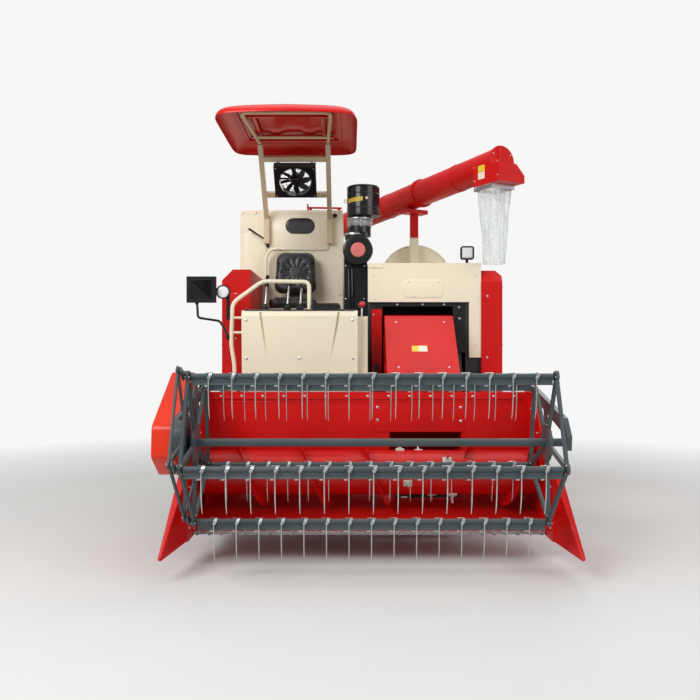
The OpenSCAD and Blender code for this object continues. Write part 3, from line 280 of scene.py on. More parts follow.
def metal(name, colour, rough, scale, grain=(1, 1, 1), rust=0.0, depth=0.15):
    f = Finish(name, Specular_IOR_Level=0.5)
    cloud, scratch = f.speckle(scale, 4), f.speckle(160, 2, stretch=grain)
    stain = (f.speckle(7, 6, 0.7) * 0.7 + f.low(0.1, 0.9) * 0.3).above(0.52, 0.75) * rust
    tint = f.blend(cloud.above(0.35, 0.65), tuple(c * 0.82 for c in colour), colour)
    return f.out(Base_Color=f.blend(stain, tint, RUST), Metallic=1 - stain,
                 Roughness=(cloud * 0.16 + scratch * 0.12 + stain * 0.4 + rough).kept(),
                 Normal=f.relief(scratch, depth, 0.0006, 0.0015))


FINISH["bright_steel"] = metal("zinc_plate", (0.62, 0.63, 0.63), 0.22, 60)
FINISH["knife_steel"] = metal("ground_steel", (0.62, 0.62, 0.61), 0.26, 30, (1, 14, 14), rust=0.2)
FINISH["cast_metal"] = metal("casting", (0.22, 0.22, 0.225), 0.55, 90, rust=0.15, depth=0.5)
FINISH["bolt_zinc"] = metal("bolt_zinc", (0.80, 0.80, 0.80), 0.2, 80)
print("finishes", len(FINISH))

# %% [markdown]
# Rubber, vinyl and clear plastics. Track rubber is matt with dried mud low down and between the lugs; seat
# vinyl has a fine pebble; the sleeve's vinyl is clear enough to see through but milky where it folds. Small
# parts that only this script has use plastics of their own, filed under the CAD model's nearest slot.

# %% Rubber, vinyl and plastics
def rubber():
    f = Finish("track_rubber", Specular_IOR_Level=0.3)
    mud = (f.speckle(9, 6, 0.65) * 0.8 + f.speckle(60, 3) * 0.2).above(0.50, 0.72)
    return f.out(Base_Color=f.blend(mud * 0.62, (0.018, 0.018, 0.018), (0.23, 0.18, 0.125)),
                 Roughness=(mud * 0.25 + 0.68).kept(),
                 Normal=f.relief(f.speckle(120, 4) + mud * 1.5, 0.35, 0.0015, 0.003))


def vinyl():
    f = Finish("seat_vinyl", Sheen_Weight=0.08, Specular_IOR_Level=0.45)
    pebble = f.node("TexVoronoi", Vector=f.place, Scale=700).outputs["Distance"]
    worn = f.speckle(9, 4).above(0.45, 0.75)
    return f.out(Base_Color=f.blend(worn, (0.012, 0.012, 0.013), (0.035, 0.034, 0.033)),
                 Roughness=(worn * 0.14 + 0.36).kept(), Normal=f.relief(pebble, 0.22, 0.0006))


def clear_vinyl():
    f = Finish("clear_vinyl", IOR=1.45, Specular_IOR_Level=0.6)
    milk = f.speckle(26, 5, 0.7, (1, 1, 0.35))
    cloudy = milk.above(0.42, 0.68)
    return f.out(Base_Color=f.blend(cloudy, (0.74, 0.80, 0.80), (0.90, 0.93, 0.92)),
                 Alpha=(cloudy * 0.38 + 0.17).kept(), Roughness=(cloudy * 0.3 + 0.08).kept(),
                 Normal=f.relief(milk, 0.5, 0.004))


def moulded(name, colour, rough=0.4, alpha=1.0, sparkle=0.0):
    f = Finish(name, Specular_IOR_Level=0.5, Coat_Roughness=0.08)
    flow = f.speckle(22, 3)
    if alpha < 1:
        f.out(Alpha=(flow * 0.1 + alpha).kept())
    return f.out(Base_Color=f.blend(flow, tuple(c * 0.93 for c in colour), colour),
                 Roughness=(flow * 0.12 + rough).kept(), Coat_Weight=(flow * 0.1 + sparkle).kept(),
                 Normal=f.relief(f.speckle(300, 2), 0.08, 0.0005))


FINISH.update({
    "track_rubber": rubber(), "seat_vinyl": vinyl(), "clear_vinyl": clear_vinyl(),
    "pale_plastic": moulded("pale_guide_plastic", (0.62, 0.60, 0.52)),
    "yellow_band": moulded("yellow_band", (0.75, 0.55, 0.03), 0.35),
    "smoked_glass": moulded("smoked_window", (0.035, 0.04, 0.04), 0.06, sparkle=0.8),
    "clear_bowl": moulded("clear_bowl", (0.80, 0.84, 0.86), 0.05, 0.35, 0.8),
    "lamp_lens": moulded("lamp_lens", (0.78, 0.80, 0.82), 0.08, sparkle=0.9),
    "red_lens": moulded("red_lens", (0.42, 0.01, 0.01), 0.12, sparkle=0.8),
    "pink_disc": moulded("plain_pink_disc", (0.66, 0.16, 0.14), 0.4),
    "plain_label": moulded("plain_label", (0.78, 0.74, 0.60), 0.45),
    "red_knob": moulded("red_knob_plastic", (0.50, 0.02, 0.015), 0.25, sparkle=0.5),
    "mirror_glass": metal("mirror_glass", (0.86, 0.88, 0.89), 0.0, 3, depth=0.0)})
SLOT = {"bolt_zinc": "bright_steel", "pale_plastic": "black_gloss", "yellow_band": "cream_paint",
        "smoked_glass": "black_gloss", "clear_bowl": "clear_vinyl", "lamp_lens": "bright_steel",
        "red_lens": "red_paint", "pink_disc": "red_paint", "plain_label": "cream_paint",
        "red_knob": "red_paint", "mirror_glass": "bright_steel"}
for name, node in frame["nodes"].items():
    finish = FINISH[next(s["material_slot"] for s in frame["record"]["subparts"] if s["node"] == name)]
    node.data.materials.clear()
    node.data.materials.append(finish)
print("finishes", len(bpy.data.materials))

# %% [markdown]
# Most details are small hard pieces: bolts, clips, straps, ribs. A Shop collects them as plain lists of
# corners and faces and turns each batch into one mesh, which is quicker than hundreds of objects. A batch
# rides on one moving body, has one finish, and can have its edges rounded by a Bevel modifier. Sheet panels
# are pressed: a shallow raised field with sloping sides stiffens the sheet, and the Shop makes those too.
# Its methods are the makers' ways of working: join rings, cut a block, turn on a lathe, bend a tube, bolt.

# %% A workshop for hard pieces
class Shop:
    def __init__(self, name, finish, body="root", smooth=30, bevel=0, stands_for=(), slot=None):
        self.name, self.finish, self.body, self.smooth, self.bevel = name, finish, body, smooth, bevel
        self.stands_for, self.slot = stands_for, slot or SLOT.get(finish, finish)
        self.corners, self.faces = [], []

    def add(self, corners, faces):
        start = len(self.corners)
        self.corners += [Vector(c) for c in corners]
        self.faces += [[start + i for i in face] for face in faces]
        return self

    def loops(self, rings, closed=False, caps=True):
        """Rings of corners joined one to the next; the ends are capped unless the last meets the first."""
        n, count = len(rings[0]), len(rings)
        steps = [(i * n, (i + 1) % count * n) for i in range(count if closed else count - 1)]
        faces = [[i + k, i + (k + 1) % n, j + (k + 1) % n, j + k] for i, j in steps for k in range(n)]
        if caps and not closed:
            faces += [list(range(n))[::-1], [(count - 1) * n + k for k in range(n)]]
        return self.add([c for ring in rings for c in ring], faces)

    def block(self, low, high):
        ring = [(low.x, low.y), (high.x, low.y), (high.x, high.y), (low.x, high.y)]
        return self.loops([[Vector((x, y, z)) for x, y in ring] for z in (low.z, high.z)])

    def slab(self, middle, right, up, size, depth):
        """A flat bar in any direction: its middle, two directions, width by height, and thickness."""
        out = right.cross(up).normalized()
        ring = [right * (sx * size[0] / 2) + up * (sy * size[1] / 2) for sx, sy in CORNERS]
        return self.loops([[middle + out * d + c for c in ring] for d in (-depth / 2, depth / 2)])

    def turned(self, start, along, profile, sides=24):
        """A shape turned on a lathe: profile is a list of (distance along, radius)."""
        along = along.normalized()
        side = along.orthogonal().normalized()
        flat = side, along.cross(side)
        return self.loops([circle(start + along * d, r, sides, 0, flat) for d, r in profile])

    def tube(self, path, radius, sides=8, closed=False):
        """A round bar or wire along a path, carried along without twisting."""
        last = len(path) - 1
        rings, side = [], None
        for i, p in enumerate(path):
            ahead = path[(i + 1) % (last + 1)] if closed or i < last else p
            behind = path[i - 1] if closed or i > 0 else p
            way = (ahead - behind).normalized()
            side = way.orthogonal() if side is None else side - way * side.dot(way)
            side.normalize()
            r = radius[i] if hasattr(radius, "__len__") else radius
            rings.append(circle(p, r, sides, 0, (side, way.cross(side))))
        return self.loops(rings, closed=closed)

    def bolts(self, seats, out, size=0.008, washer=True):
        """Hexagon heads, on washers, at a list of places; size is the thread's diameter."""
        out = out.normalized()
        for seat in seats:
            if washer:
                self.turned(seat, out, [(0, size * 1.15), (size * 0.16, size * 1.15), (size * 0.2, size * 1.05)], 12)
            self.turned(seat + out * size * 0.15, out,
                        [(0, size * 0.95), (size * 0.55, size * 0.95), (size * 0.68, size * 0.78)], 6)
        return self

    def field(self, middle, right, up, size, rise=0.008, corner=0.03, slope=0.010):
        """A pressed field on a flat surface, from its middle, its two directions and its size."""
        out, rings = right.cross(up).normalized(), []
        for grow, lift in ((slope, -0.001), (slope * 0.8, rise * 0.15), (slope * 0.2, rise * 0.85), (-0.002, rise)):
            w, h, r = size[0] / 2 + grow, size[1] / 2 + grow, max(corner + grow, 0.002)
            rings.append([p for sx, sy, first in ((1, 1, 0), (-1, 1, 90), (-1, -1, 180), (1, -1, 270))
                          for p in arc(middle + out * lift + right * (sx * (w - r)) + up * (sy * (h - r)),
                                       r, first, first + 90, 4, (right, up))])
        return self.loops(rings)

    def solid(self):
        """The batch as one mesh object, with its faces turned outwards."""
        mesh = bpy.data.meshes.new(self.name)
        mesh.from_pydata([tuple(c) for c in self.corners], [], self.faces)
        mesh.validate()
        work = bmesh.new()
        work.from_mesh(mesh)
        bmesh.ops.recalc_face_normals(work, faces=work.faces)
        work.to_mesh(mesh)
        work.free()
        piece = bpy.data.objects.new(self.name, mesh)
        scene.collection.objects.link(piece)
        return piece

    def make(self):
        piece = self.solid()
        piece.data.materials.append(FINISH[self.finish])
        if self.bevel:
            edge = piece.modifiers.new("edge", "BEVEL")
            edge.width, edge.segments = self.bevel, 2
            edge.limit_method, edge.angle_limit = "ANGLE", math.radians(35)
        piece.data.shade_smooth()
        piece.data.set_sharp_from_angle(angle=math.radians(self.smooth))
        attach(piece, self.body)
        if self.stands_for:
            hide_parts(*self.stands_for)
        return piece


def build(*shops):
    for shop in shops:
        shop.make()
    print("made", ", ".join(shop.name for shop in shops))


print("the workshop is open")

# %% [markdown]
# Flat outlines come before solids: part of a circle, a shape whose corners are rounded, the same shape set
# in all round, and a stack of such shapes for the Shop to join into a shell.

# %% Outlines
def arc(middle, radius, start, stop, steps, flat=(X, Z)):
    """Points on part of a circle, both of its ends among them; angles in degrees."""
    return circle(middle, radius, steps + 1, start, flat, (stop - start) * (steps + 1) / steps)


def rounded_outline(points, radius, steps=5):
    """The corners of a flat outline replaced by short curves."""
    ring, n = [], len(points)
    for i, p in enumerate(points):
        here = Vector(p)
        before, after = Vector(points[i - 1]) - here, Vector(points[(i + 1) % n]) - here
        r = min(radius, before.length / 2.2, after.length / 2.2)
        a, b = here + before.normalized() * r, here + after.normalized() * r
        for t in (k / steps for k in range(steps + 1)):
            ring.append(a * (1 - t) ** 2 + here * (2 * t * (1 - t)) + b * t ** 2)
    return ring


def shrunk(ring, amount):
    """A flat outline set in by the same amount all round."""
    if not amount:
        return ring
    middle, n, out = sum(ring, Vector((0, 0))) / len(ring), len(ring), []
    for i, p in enumerate(ring):
        way = ring[(i + 1) % n] - ring[i - 1]
        inward = Vector((-way.y, way.x)).normalized()
        out.append(p + (inward if inward.dot(middle - p) > 0 else -inward) * amount)
    return out


def oblong(half_wide, half_tall, corner):
    return rounded_outline([(sx * half_wide, sy * half_tall) for sx, sy in CORNERS], corner)


def shells(middle, ring, steps, flat=(X, Z, Y)):
    """Copies of an outline for loops: each step is how far along the third direction, and how far set in."""
    return [[middle + flat[0] * p.x + flat[1] * p.y + flat[2] * d for p in shrunk(ring, s)] for d, s in steps]


print("a rounded oblong has", len(oblong(0.1, 0.1, 0.02)), "corners")

# %% [markdown]
# The reel lifts the crop over the knife. Each of its five bars is a folded steel channel on a tube, and
# carries spring tines: a wire coiled twice round the tube, then drawn down and back to a point. A bright
# clip wraps each tine on slantwise. The bars hang level whatever the reel does, because each rides on its
# own joint, so a bar is modelled once, about its own axis, and set at each of the five pivots.

# %% Tines, clips and bars
# outlines are (back, up) from the bar's own axis
BAR_HALF, TUBE_R, BAR_LOW, SPIDER_X = 1.019, 0.016, 0.050, 1.042
TINE_R, TINE_PITCH, TINES, COIL_R, TURN = 0.0032, 0.132, 15, 0.021, 6.283
TINE_DROP = ((-0.021, -0.03), (-0.020, -0.09), (-0.013, -0.155), (0.002, -0.205), (0.020, -0.243))
CLIP_W, CLIP_LEAN, CLIP_THICK = 0.019, 0.030, 0.0022
CLIP_OUTLINE = ((-0.0235, -0.012), (-0.0235, 0.006), (-0.016, 0.0185), (0, 0.0215), (0.016, 0.0185),
                (0.021, 0.004), (0.011, -0.054), (-0.006, -0.057), (-0.010, -0.046))
CHANNEL = ((-0.006, -0.012), (-0.0055, -0.040), (-0.0135, -0.048), (-0.0135, -0.050), (0.004, -0.050),
           (0.0055, -0.047), (0.006, -0.012))
CRANK = pivot["ring_spin"] - pivot["reel_spin"]
CRANK.x = 0
bars = [name for name in joints if name.startswith("bar_")]


def tine(shop, root):
    coil = [root + X * (0.016 - 0.0075 * t / TURN) + Y * (-COIL_R * math.cos(t)) + Z * (COIL_R * math.sin(t))
            for t in (2 * TURN * k / 20 for k in range(21))]
    sizes = [TINE_R] * (len(coil) + 3) + [TINE_R * 0.9, TINE_R * 0.55]
    shop.tube(coil + [root + Y * y + Z * z for y, z in TINE_DROP], sizes, 6)


def clip(shop, root):
    """A flat strap bent round the bar, leaning along it."""
    rings = []
    for y, z in CLIP_OUTLINE:
        lean = (z + BAR_LOW) / (BAR_LOW + 0.02) - 0.5
        middle = root + X * (CLIP_LEAN * lean * (1 if y < 0.012 else -1)) + Y * y + Z * z
        inward = Vector((0, -y, -0.016 - z * 0.2)).normalized() * CLIP_THICK
        half = X * CLIP_W / 2
        rings.append([middle - half, middle + half, middle + half + inward, middle - half + inward])
    shop.loops(rings)


def folded_bar(shop, middle):
    """The channel on its tube, and at the left end the short arm that the eccentric ring steers it by."""
    long = SPIDER_X * 2 + 0.047
    shop.turned(middle - X * (SPIDER_X + 0.033), X, [(0, TUBE_R - 0.002), (0.002, TUBE_R), (long - 0.002, TUBE_R),
                                                     (long, TUBE_R - 0.002)], 20)
    shop.loops([[middle + X * x + Y * y + Z * z for y, z in CHANNEL] for x in (-BAR_HALF, BAR_HALF)])
    start = middle - X * (SPIDER_X + 0.028)
    end, side, way = start + CRANK, X.cross(CRANK).normalized(), CRANK.normalized()
    outline = [start + side * 0.022 - way * 0.012, start - side * 0.022 - way * 0.012,
               end - side * 0.014 + way * 0.014, end + side * 0.014 + way * 0.014]
    shop.loops([[c + X * d for c in outline] for d in (-0.006, 0.006)])
    shop.turned(start - X * 0.006, X, [(0, 0.024), (0.012, 0.024)], 20)
    shop.turned(end - X * 0.022, X, [(0, 0.0075), (0.002, 0.0085), (0.024, 0.0085)], 12)


for name in bars:
    body, middle = name.replace("_pivot", ""), pivot[name]
    middle.x = HEADER_MIDDLE
    number = body.replace("bar_", "")
    folded = Shop(f"reel_bar_{number}", "slate_paint", body, bevel=0.0008, stands_for=[f"tine_bar_{number}"])
    wires = Shop(f"tines_{number}", "bright_steel", body, 60)
    straps = Shop(f"tine_clips_{number}", "bright_steel", body)
    folded_bar(folded, middle)
    for k in range(TINES):
        root = middle + X * ((k - (TINES - 1) / 2) * TINE_PITCH)
        tine(wires, root)
        clip(straps, root)
        straps.bolts([root + Vector((0.002, -0.0235, -0.004))], -Y, 0.005, washer=False)
    build(folded, wires, straps)

# %% [markdown]
# The reel turns on two spiders; on the left a second ring, set off centre, keeps the tines upright. Bright
# bolts with washers fasten the bars' bearings, the hub plates and the three-cornered flange at the hub.
# Folds along the straight sides stiffen the sheet; each is a low rib, clear of the cranks behind the ring.

# %% Reel rings
REEL, RING = pivot["reel_spin"], pivot["ring_spin"]
RING_FACE = RING - X * 0.006
SPOKES = [Vector((0, pivot[name].y - REEL.y, pivot[name].z - REEL.z)) for name in bars]
reel_bolts, bearings = Shop("reel_bolts", "bolt_zinc", "reel"), Shop("bar_bearings", "black_gloss", "reel")
hub_plates = Shop("reel_hub_plates", "slate_paint", "reel", bevel=0.001)
ring_bolts = Shop("ring_bolts", "bolt_zinc", "ring")
folds, ring_folds = Shop("spider_folds", "slate_paint", "reel"), Shop("ring_folds", "slate_paint", "ring")
SIDES = [(spoke, after, (after - spoke).normalized() * 0.05)
         for spoke, after in zip(SPOKES, SPOKES[1:] + SPOKES[:1])]
for side in (LEFT, RIGHT):
    out = X * side
    face = Vector((HEADER_MIDDLE + side * (SPIDER_X + 0.009), REEL.y, REEL.z))
    inner = face - out * 0.018
    for spoke, after, inset in SIDES:
        way = spoke.normalized()
        cross = X.cross(way)
        seats = [spoke + way * d + cross * s for d, s in ((-0.034, 0), (0.008, 0.022), (0.008, -0.022))]
        reel_bolts.bolts([face + seat for seat in seats], out, 0.006)
        reel_bolts.bolts([inner + seat for seat in seats], -out, 0.006)
        bearings.turned(inner + spoke - out * 0.010, out, [(0, 0.021), (0.003, 0.025), (0.010, 0.026)], 20)
        folds.tube([inner + spoke + inset, inner + after - inset], 0.004, 6)
        folds.tube([inner + spoke * 0.25, inner + spoke * 0.90], 0.004, 6)
    flange = [p for k in range(3) for t, r in ((-13, 0.098), (0, 0.112), (13, 0.098))
              for p in circle(face, r, 1, 120 * k + 90 + t)]
    hub_plates.loops([[p + out * d for p in flange] for d in (0.0005, 0.006)])
    hub_plates.turned(face + out * 0.005, out, [(0, 0.046), (0.016, 0.044), (0.018, 0.040)], 28)
    reel_bolts.bolts(circle(face + out * 0.006, 0.088, 3, 90), out, 0.008)
for spoke, after, inset in SIDES:
    ring_bolts.bolts([RING_FACE + spoke], -X, 0.009)
    ring_bolts.bolts([RING_FACE + spoke * 0.38], -X, 0.006)
    ring_folds.tube([RING_FACE + spoke + inset, RING_FACE + after - inset], 0.0035, 6)
build(reel_bolts, bearings, hub_plates, ring_bolts, folds, ring_folds)

# %% [markdown]
# The knife: forged double fingers guard the knife sections. A finger is a spear with a lip over the
# section's edge, so it is lofted from a few outlines; sections are flat triangles riveted to the bar.

# %% Knife and guards
GUARD_PITCH, KNIFE_Z, KNIFE_HALF, HOLD_DOWNS, HOLD_PITCH = 0.0762, 0.190, 1.130, 8, 0.29
# FINGER: how far back, half width, share of its height; SECTION: (across, back)
FINGER = ((0.058, 0.011, 1), (0.046, 0.0115, 1), (0.026, 0.008, 0.9), (0.010, 0.0045, 0.6))
SECTION = ((-0.034, 0.062), (0.034, 0.062), (0.031, 0.050), (0.008, 0.008), (-0.008, 0.008), (-0.031, 0.050))
guards = Shop("knife_guards", "knife_steel", "header", bevel=0.001, stands_for=["knife_bar"])
sections = Shop("knife_sections", "knife_steel", "header")
rivets = Shop("knife_rivets", "bolt_zinc", "header")
count = int((2 * HEADER_HALF - 0.06) / GUARD_PITCH)


def finger(shop, x):
    """The spear below the sections and the lip above them, each lofted along FINGER to its own tip."""
    for low, high, tip in ((-0.016, -0.0055, 0.0015), (0.0055, 0.0105, 0.0081)):
        rings = []
        for y, half, tall in (*FINGER, (tip, 0.002, 0.3)):
            y = y if low < 0 else max(y, 0.012) + 0.003 * tall
            top = KNIFE_Z + high
            base = top - (high - low) * tall
            rings.append([at(x - half, y, base), at(x + half, y, base),
                          at(x + half * 0.6, y, top), at(x - half * 0.6, y, top)])
        shop.loops(rings)
    shop.block(at(x - 0.010, 0.046, KNIFE_Z - 0.016), at(x + 0.010, 0.060, KNIFE_Z + 0.011))


for k in range(count + 1):
    x = (k - count / 2) * GUARD_PITCH
    finger(guards, x)
    if k % 2 == 0:
        rivets.bolts([at(x, 0.074, KNIFE_Z + 0.0055)], Z)
for k in range(count):
    x = (k + 0.5 - count / 2) * GUARD_PITCH
    sections.loops([[at(x + dx, y, KNIFE_Z + z) for dx, y in SECTION] for z in (-0.004, -0.001)])
    for dx in (-0.018, 0.018):
        rivets.turned(at(x + dx, 0.058, KNIFE_Z - 0.001), Z, [(0, 0.005), (0.0018, 0.0045), (0.0026, 0.002)], 10)
sections.block(at(-KNIFE_HALF, 0.050, KNIFE_Z - 0.001), at(KNIFE_HALF, 0.064, KNIFE_Z + 0.004))
guards.block(at(-KNIFE_HALF, 0.058, KNIFE_Z - 0.018), at(KNIFE_HALF, 0.089, KNIFE_Z - 0.0045))
for k in range(HOLD_DOWNS):
    x = (k - (HOLD_DOWNS - 1) / 2) * HOLD_PITCH
    guards.block(at(x - 0.022, 0.052, KNIFE_Z + 0.0045), at(x + 0.022, 0.088, KNIFE_Z + 0.0085))
    rivets.bolts([at(x, 0.078, KNIFE_Z + 0.0085)], Z)
build(guards, sections, rivets)

# %% [markdown]
# Behind the knife the auger draws the crop to the feeder. In front of the feeder's mouth fingers reach out
# of the drum through pale plastic guides, which keep straw out of the drum.

# %% Auger fingers
AUGER, DRUM_R = pivot["auger_spin"], 0.150
FEED_LOW, FEED_HIGH = 0.145, 0.680
FINGERS, FINGER_STEP, FINGER_TURN = 10, 0.044, 110
fingers = Shop("auger_fingers", "bright_steel", "auger")
guides = Shop("finger_guides", "pale_plastic", "auger", bevel=0.002)
for k in range(FINGERS):
    a = math.radians(FINGER_TURN * k)
    out = Y * -math.sin(a) + Z * math.cos(a)
    seat, side = Vector((HEADER_MIDDLE + FEED_LOW + 0.07 + FINGER_STEP * k, AUGER.y, AUGER.z)), X.cross(out)
    guides.loops([[seat + out * h + X * (sx * 0.030 * g) + side * (sy * 0.022 * g) for sx, sy in CORNERS]
                  for h, g in ((DRUM_R - 0.006, 1), (DRUM_R + 0.007, 1), (DRUM_R + 0.011, 0.85))])
    root = seat + out * (DRUM_R + 0.008)
    guides.turned(root, out, [(0, 0.016), (0.010, 0.014), (0.012, 0.009)], 16)
    fingers.turned(root, out, [(0, 0.0085), (0.052, 0.0085), (0.058, 0.006)], 12)
    fingers.bolts([root + out * 0.003 + X * (0.022 * s) + side * (0.015 * s) for s in (-1, 1)], out, 0.004, False)
build(fingers, guides)

# %% [markdown]
# The header's own sheet work: a rail and a low rib along the back sheet, a bolted sheet over the mouth, bolt
# rows, folded lips on the end sheets, bearing covers at the auger's ends, and skids under the floor.

# %% Header sheet work
BACK_Y, BACK_TOP, BOLT_PITCH = 0.625, 1.060, 0.15
header_bolts = Shop("header_bolts", "bolt_zinc", "header")
lips = Shop("header_lips", "red_paint", "header", bevel=0.001)
for low, high, proud in (((-1.10, 1.008), (1.10, 1.026), 0.010), ((-1.10, 0.985), (1.10, 0.990), 0.004),
                         ((0.045, 0.775), (0.695, 0.983), 0.0045)):
    lips.block(at(low[0], BACK_Y - proud, low[1]), at(high[0], BACK_Y - 0.0005, high[1]))
header_bolts.bolts([at(x, BACK_Y - 0.0045, z) for x, z in
                    ((0.070, 0.860), (0.665, 0.853), (0.070, 0.950), (0.665, 0.950))], -Y, 0.009)
header_bolts.bolts(grid([BOLT_PITCH * k for k in range(-7, 8)], BACK_Y - 0.0002, BACK_TOP - 0.03), -Y)
for side in (LEFT, RIGHT):
    lips.tube([at(side * (HEADER_HALF + 0.006), y, z) for y, z in
               ((-0.110, 0.570), (0.060, 0.640), (0.420, BACK_TOP), (BACK_Y + 0.06, BACK_TOP))], 0.009, 10)
    inner, inward = side * HEADER_HALF, -X * side
    header_bolts.bolts([at(inner, y, z) for y, z in ((-0.06, 0.24), (-0.06, 0.50), (0.10, 0.20), (0.30, 0.80),
                                                     (0.48, 0.95), (0.58, 0.55))], inward, 0.007)
    hub = at(inner, AUGER.y - KNIFE_TIPS, AUGER.z)
    header_bolts.turned(hub, inward, [(0, 0.072), (0.006, 0.072), (0.008, 0.068)], 28)
    header_bolts.bolts(circle(hub + inward * 0.008, 0.055, 4, 45), inward)
skid = (at(0, 0.370, 0.2647) - at(0, 0.100, 0.1752)).normalized()
for x in (-0.85, -0.3, 0.9):
    lips.slab(at(x, 0.235, 0.2150), X, skid, (0.07, 0.26), 0.008)
build(header_bolts, lips)

# %% [markdown]
# The drive cover on the header's left end is a folded sheet box over belts and chains. It is drawn as an
# outline with tight corners, thickened, and given a shallow pressed middle and captive screws.

# %% Header drive cover
# the outline is (back, up); a step is a place across and the share of the outline's size there
COVER_OUT, COVER_IN = box["drive_cover"][0].x, box["drive_cover"][1].x
COVER_OUTLINE = [(0.410, 1.210), (-0.170, 0.890), (-0.190, 0.700), (0.020, 0.560), (0.685, 0.560), (0.715, 0.760),
                 (0.560, 1.180)]
COVER_STEPS = [(COVER_IN, 0.99), (COVER_IN, 1), (COVER_OUT + 0.009, 1), (COVER_OUT + 0.0035, 0.994),
               (COVER_OUT + 0.001, 0.98), (COVER_OUT + 0.001, 0.86), (COVER_OUT + 0.006, 0.84),
               (COVER_OUT + 0.006, 0.60)]
# the cover's brighter orange-red is painted sunlight on the red enamel, not a paint colour of its own
cover = Shop("header_drive_cover", "orange_paint", "header", 50, stands_for=["drive_cover"])
screws = Shop("cover_screws", "black_gloss", "header")
ring = rounded_outline(COVER_OUTLINE, 0.028)
middle = sum(ring, Vector((0, 0))) / len(ring)
cover.loops([[Vector((x, KNIFE_TIPS + p.x, p.y)) for p in (middle + (q - middle) * share for q in ring)]
             for x, share in COVER_STEPS])
for y, z in ((-0.14, 0.78), (0.30, 1.11), (0.55, 1.10), (0.62, 0.66), (0.08, 0.60)):
    screws.turned(Vector((COVER_OUT + 0.004, KNIFE_TIPS + y, z)), -X,
                  [(-0.003, 0.018), (0.002, 0.018), (0.003, 0.015)], 20)
build(cover, screws)

# %% [markdown]
# The feeder house lifts the crop to the thresher. Its sides carry pressed ribs. Its sloping top is plain,
# with a bolt near each corner and a blank label in two colours, where such a machine has its notices.

# %% Feeder house
SLOPE_A, SLOPE_B = at(0, 0.690, 1.124), at(0, 1.175, 1.620)
slope = (SLOPE_B - SLOPE_A).normalized()
lift_off = X.cross(slope) * 0.0005
ribs = Shop("feeder_ribs", "red_paint", "header", bevel=0.002)
feeder_bolts = Shop("feeder_bolts", "bolt_zinc", "header")
label = Shop("plain_feeder_label", "plain_label", "header")
label_band = Shop("plain_feeder_label_band", "yellow_band", "header")
feeder_bolts.bolts([SLOPE_A.lerp(SLOPE_B, t) + X * x + lift_off for x in (0.232, 0.605) for t in (0.2165, 0.91)],
                   X.cross(slope), 0.007)
label_at = SLOPE_A.lerp(SLOPE_B, 0.495) + X * 0.397 + lift_off * 2.4
label_band.slab(label_at - X * 0.032, X, slope, (0.050, 0.060), 0.001)
label.slab(label_at + X * 0.026, X, slope, (0.066, 0.060), 0.001)
for x in (FEED_LOW - 0.002, FEED_HIGH + 0.002):
    for y, z, long in ((0.80, 0.80, 0.36), (0.98, 1.08, 0.42), (1.15, 1.33, 0.36)):
        ribs.slab(at(x, y, z), Y, Z, (0.035, long * 0.8), 0.012)
build(ribs, feeder_bolts, label, label_band)

# %% [markdown]
# In front of the driver stands the console. It has a dark trim strip round its top, a small instrument
# pod, round-headed screws, and rubber boots where the levers come through. The levers have black grips.

# %% Console
CONSOLE_L, CONSOLE_R, CONSOLE_Y, CONSOLE_TOP = -0.920, -0.070, 0.760, 1.650
LEVER_WAY, GRIP_WAY = Vector((0.05, 0.55, 1)), Vector((0.05, 0.5, 1))
trim, screws = Shop("console_trim", "black_gloss", bevel=0.004), Shop("console_screws", "bolt_zinc")
boots, knobs = Shop("lever_boots", "track_rubber", smooth=60), Shop("lever_knobs", "black_gloss", smooth=60)
red_knob = Shop("red_knob", "red_knob", smooth=60)
trim.tube(grid((CONSOLE_L + 0.02, CONSOLE_R - 0.02), 0.772, CONSOLE_TOP + 0.003), 0.006)
trim.loops([[at(-0.30 + sx * w, 0.88 + sy * d, CONSOLE_TOP + z) for sx, sy in CORNERS]
            for z, w, d in ((0.0005, 0.11, 0.055), (0.045, 0.10, 0.045), (0.058, 0.085, 0.03))])
for x in (CONSOLE_L + 0.035, -0.495, CONSOLE_R - 0.035):
    for z in (1.06, 1.30, 1.58) if x != -0.495 else (1.06, 1.30):
        y = CONSOLE_Y + 0.041 - 0.040 * min(1, (z - 1.0) / 0.61)
        screws.turned(at(x, y, z), -Y, [(0, 0.010), (0.003, 0.010), (0.0045, 0.007)], 16)
pleats = [(0.006 + 0.007 * k, 0.028 - 0.003 * k + 0.003 * (k % 2)) for k in range(6)]
for x in (-0.594, -0.499, -0.759):
    boots.turned(at(x, 0.873, CONSOLE_TOP + 0.010), LEVER_WAY, [(0, 0.030)] + pleats + [(0.055, 0.009)], 20)
for x, z in ((-0.587, 1.825), (-0.492, 1.810)):
    knobs.turned(at(x, 0.955, z), GRIP_WAY,
                 [(0, 0.012), (0.01, 0.019), (0.03, 0.022), (0.046, 0.017), (0.055, 0.006)], 20)
knobs.turned(at(-0.755, 0.94, 1.83), GRIP_WAY, [(0, 0.014), (0.06, 0.017), (0.10, 0.015), (0.108, 0.008)], 16)
red_knob.turned(at(-0.034, 1.120, 1.690), Z,
                [(0, 0.012), (0.006, 0.022), (0.022, 0.0285), (0.040, 0.022), (0.049, 0.008)], 20)
build(trim, screws, boots, knobs, red_knob)

# %% [markdown]
# The rear-view mirror is a black shell round a flat glass. The glass faces the driver.

# %% Mirror
MIRROR = at(-1.221, 0.810, 1.805)
glass, shell = Shop("mirror_glass", "mirror_glass"), Shop("mirror_shell", "black_gloss", smooth=60)
glass.loops(shells(MIRROR, oblong(0.095, 0.084, 0.02), [(0.004, 0), (0.006, 0)]))
shell.loops(shells(MIRROR, oblong(0.107, 0.096, 0.03),
                   [(0.018, 0), (0.004, 0), (-0.008, 0.003), (-0.016, 0.012), (-0.018, 0.030)]))
shell.turned(MIRROR + Vector((-0.034, 0, -0.090)), Z, [(-0.02, 0.012), (0.012, 0.017)], 16)
build(glass, shell)

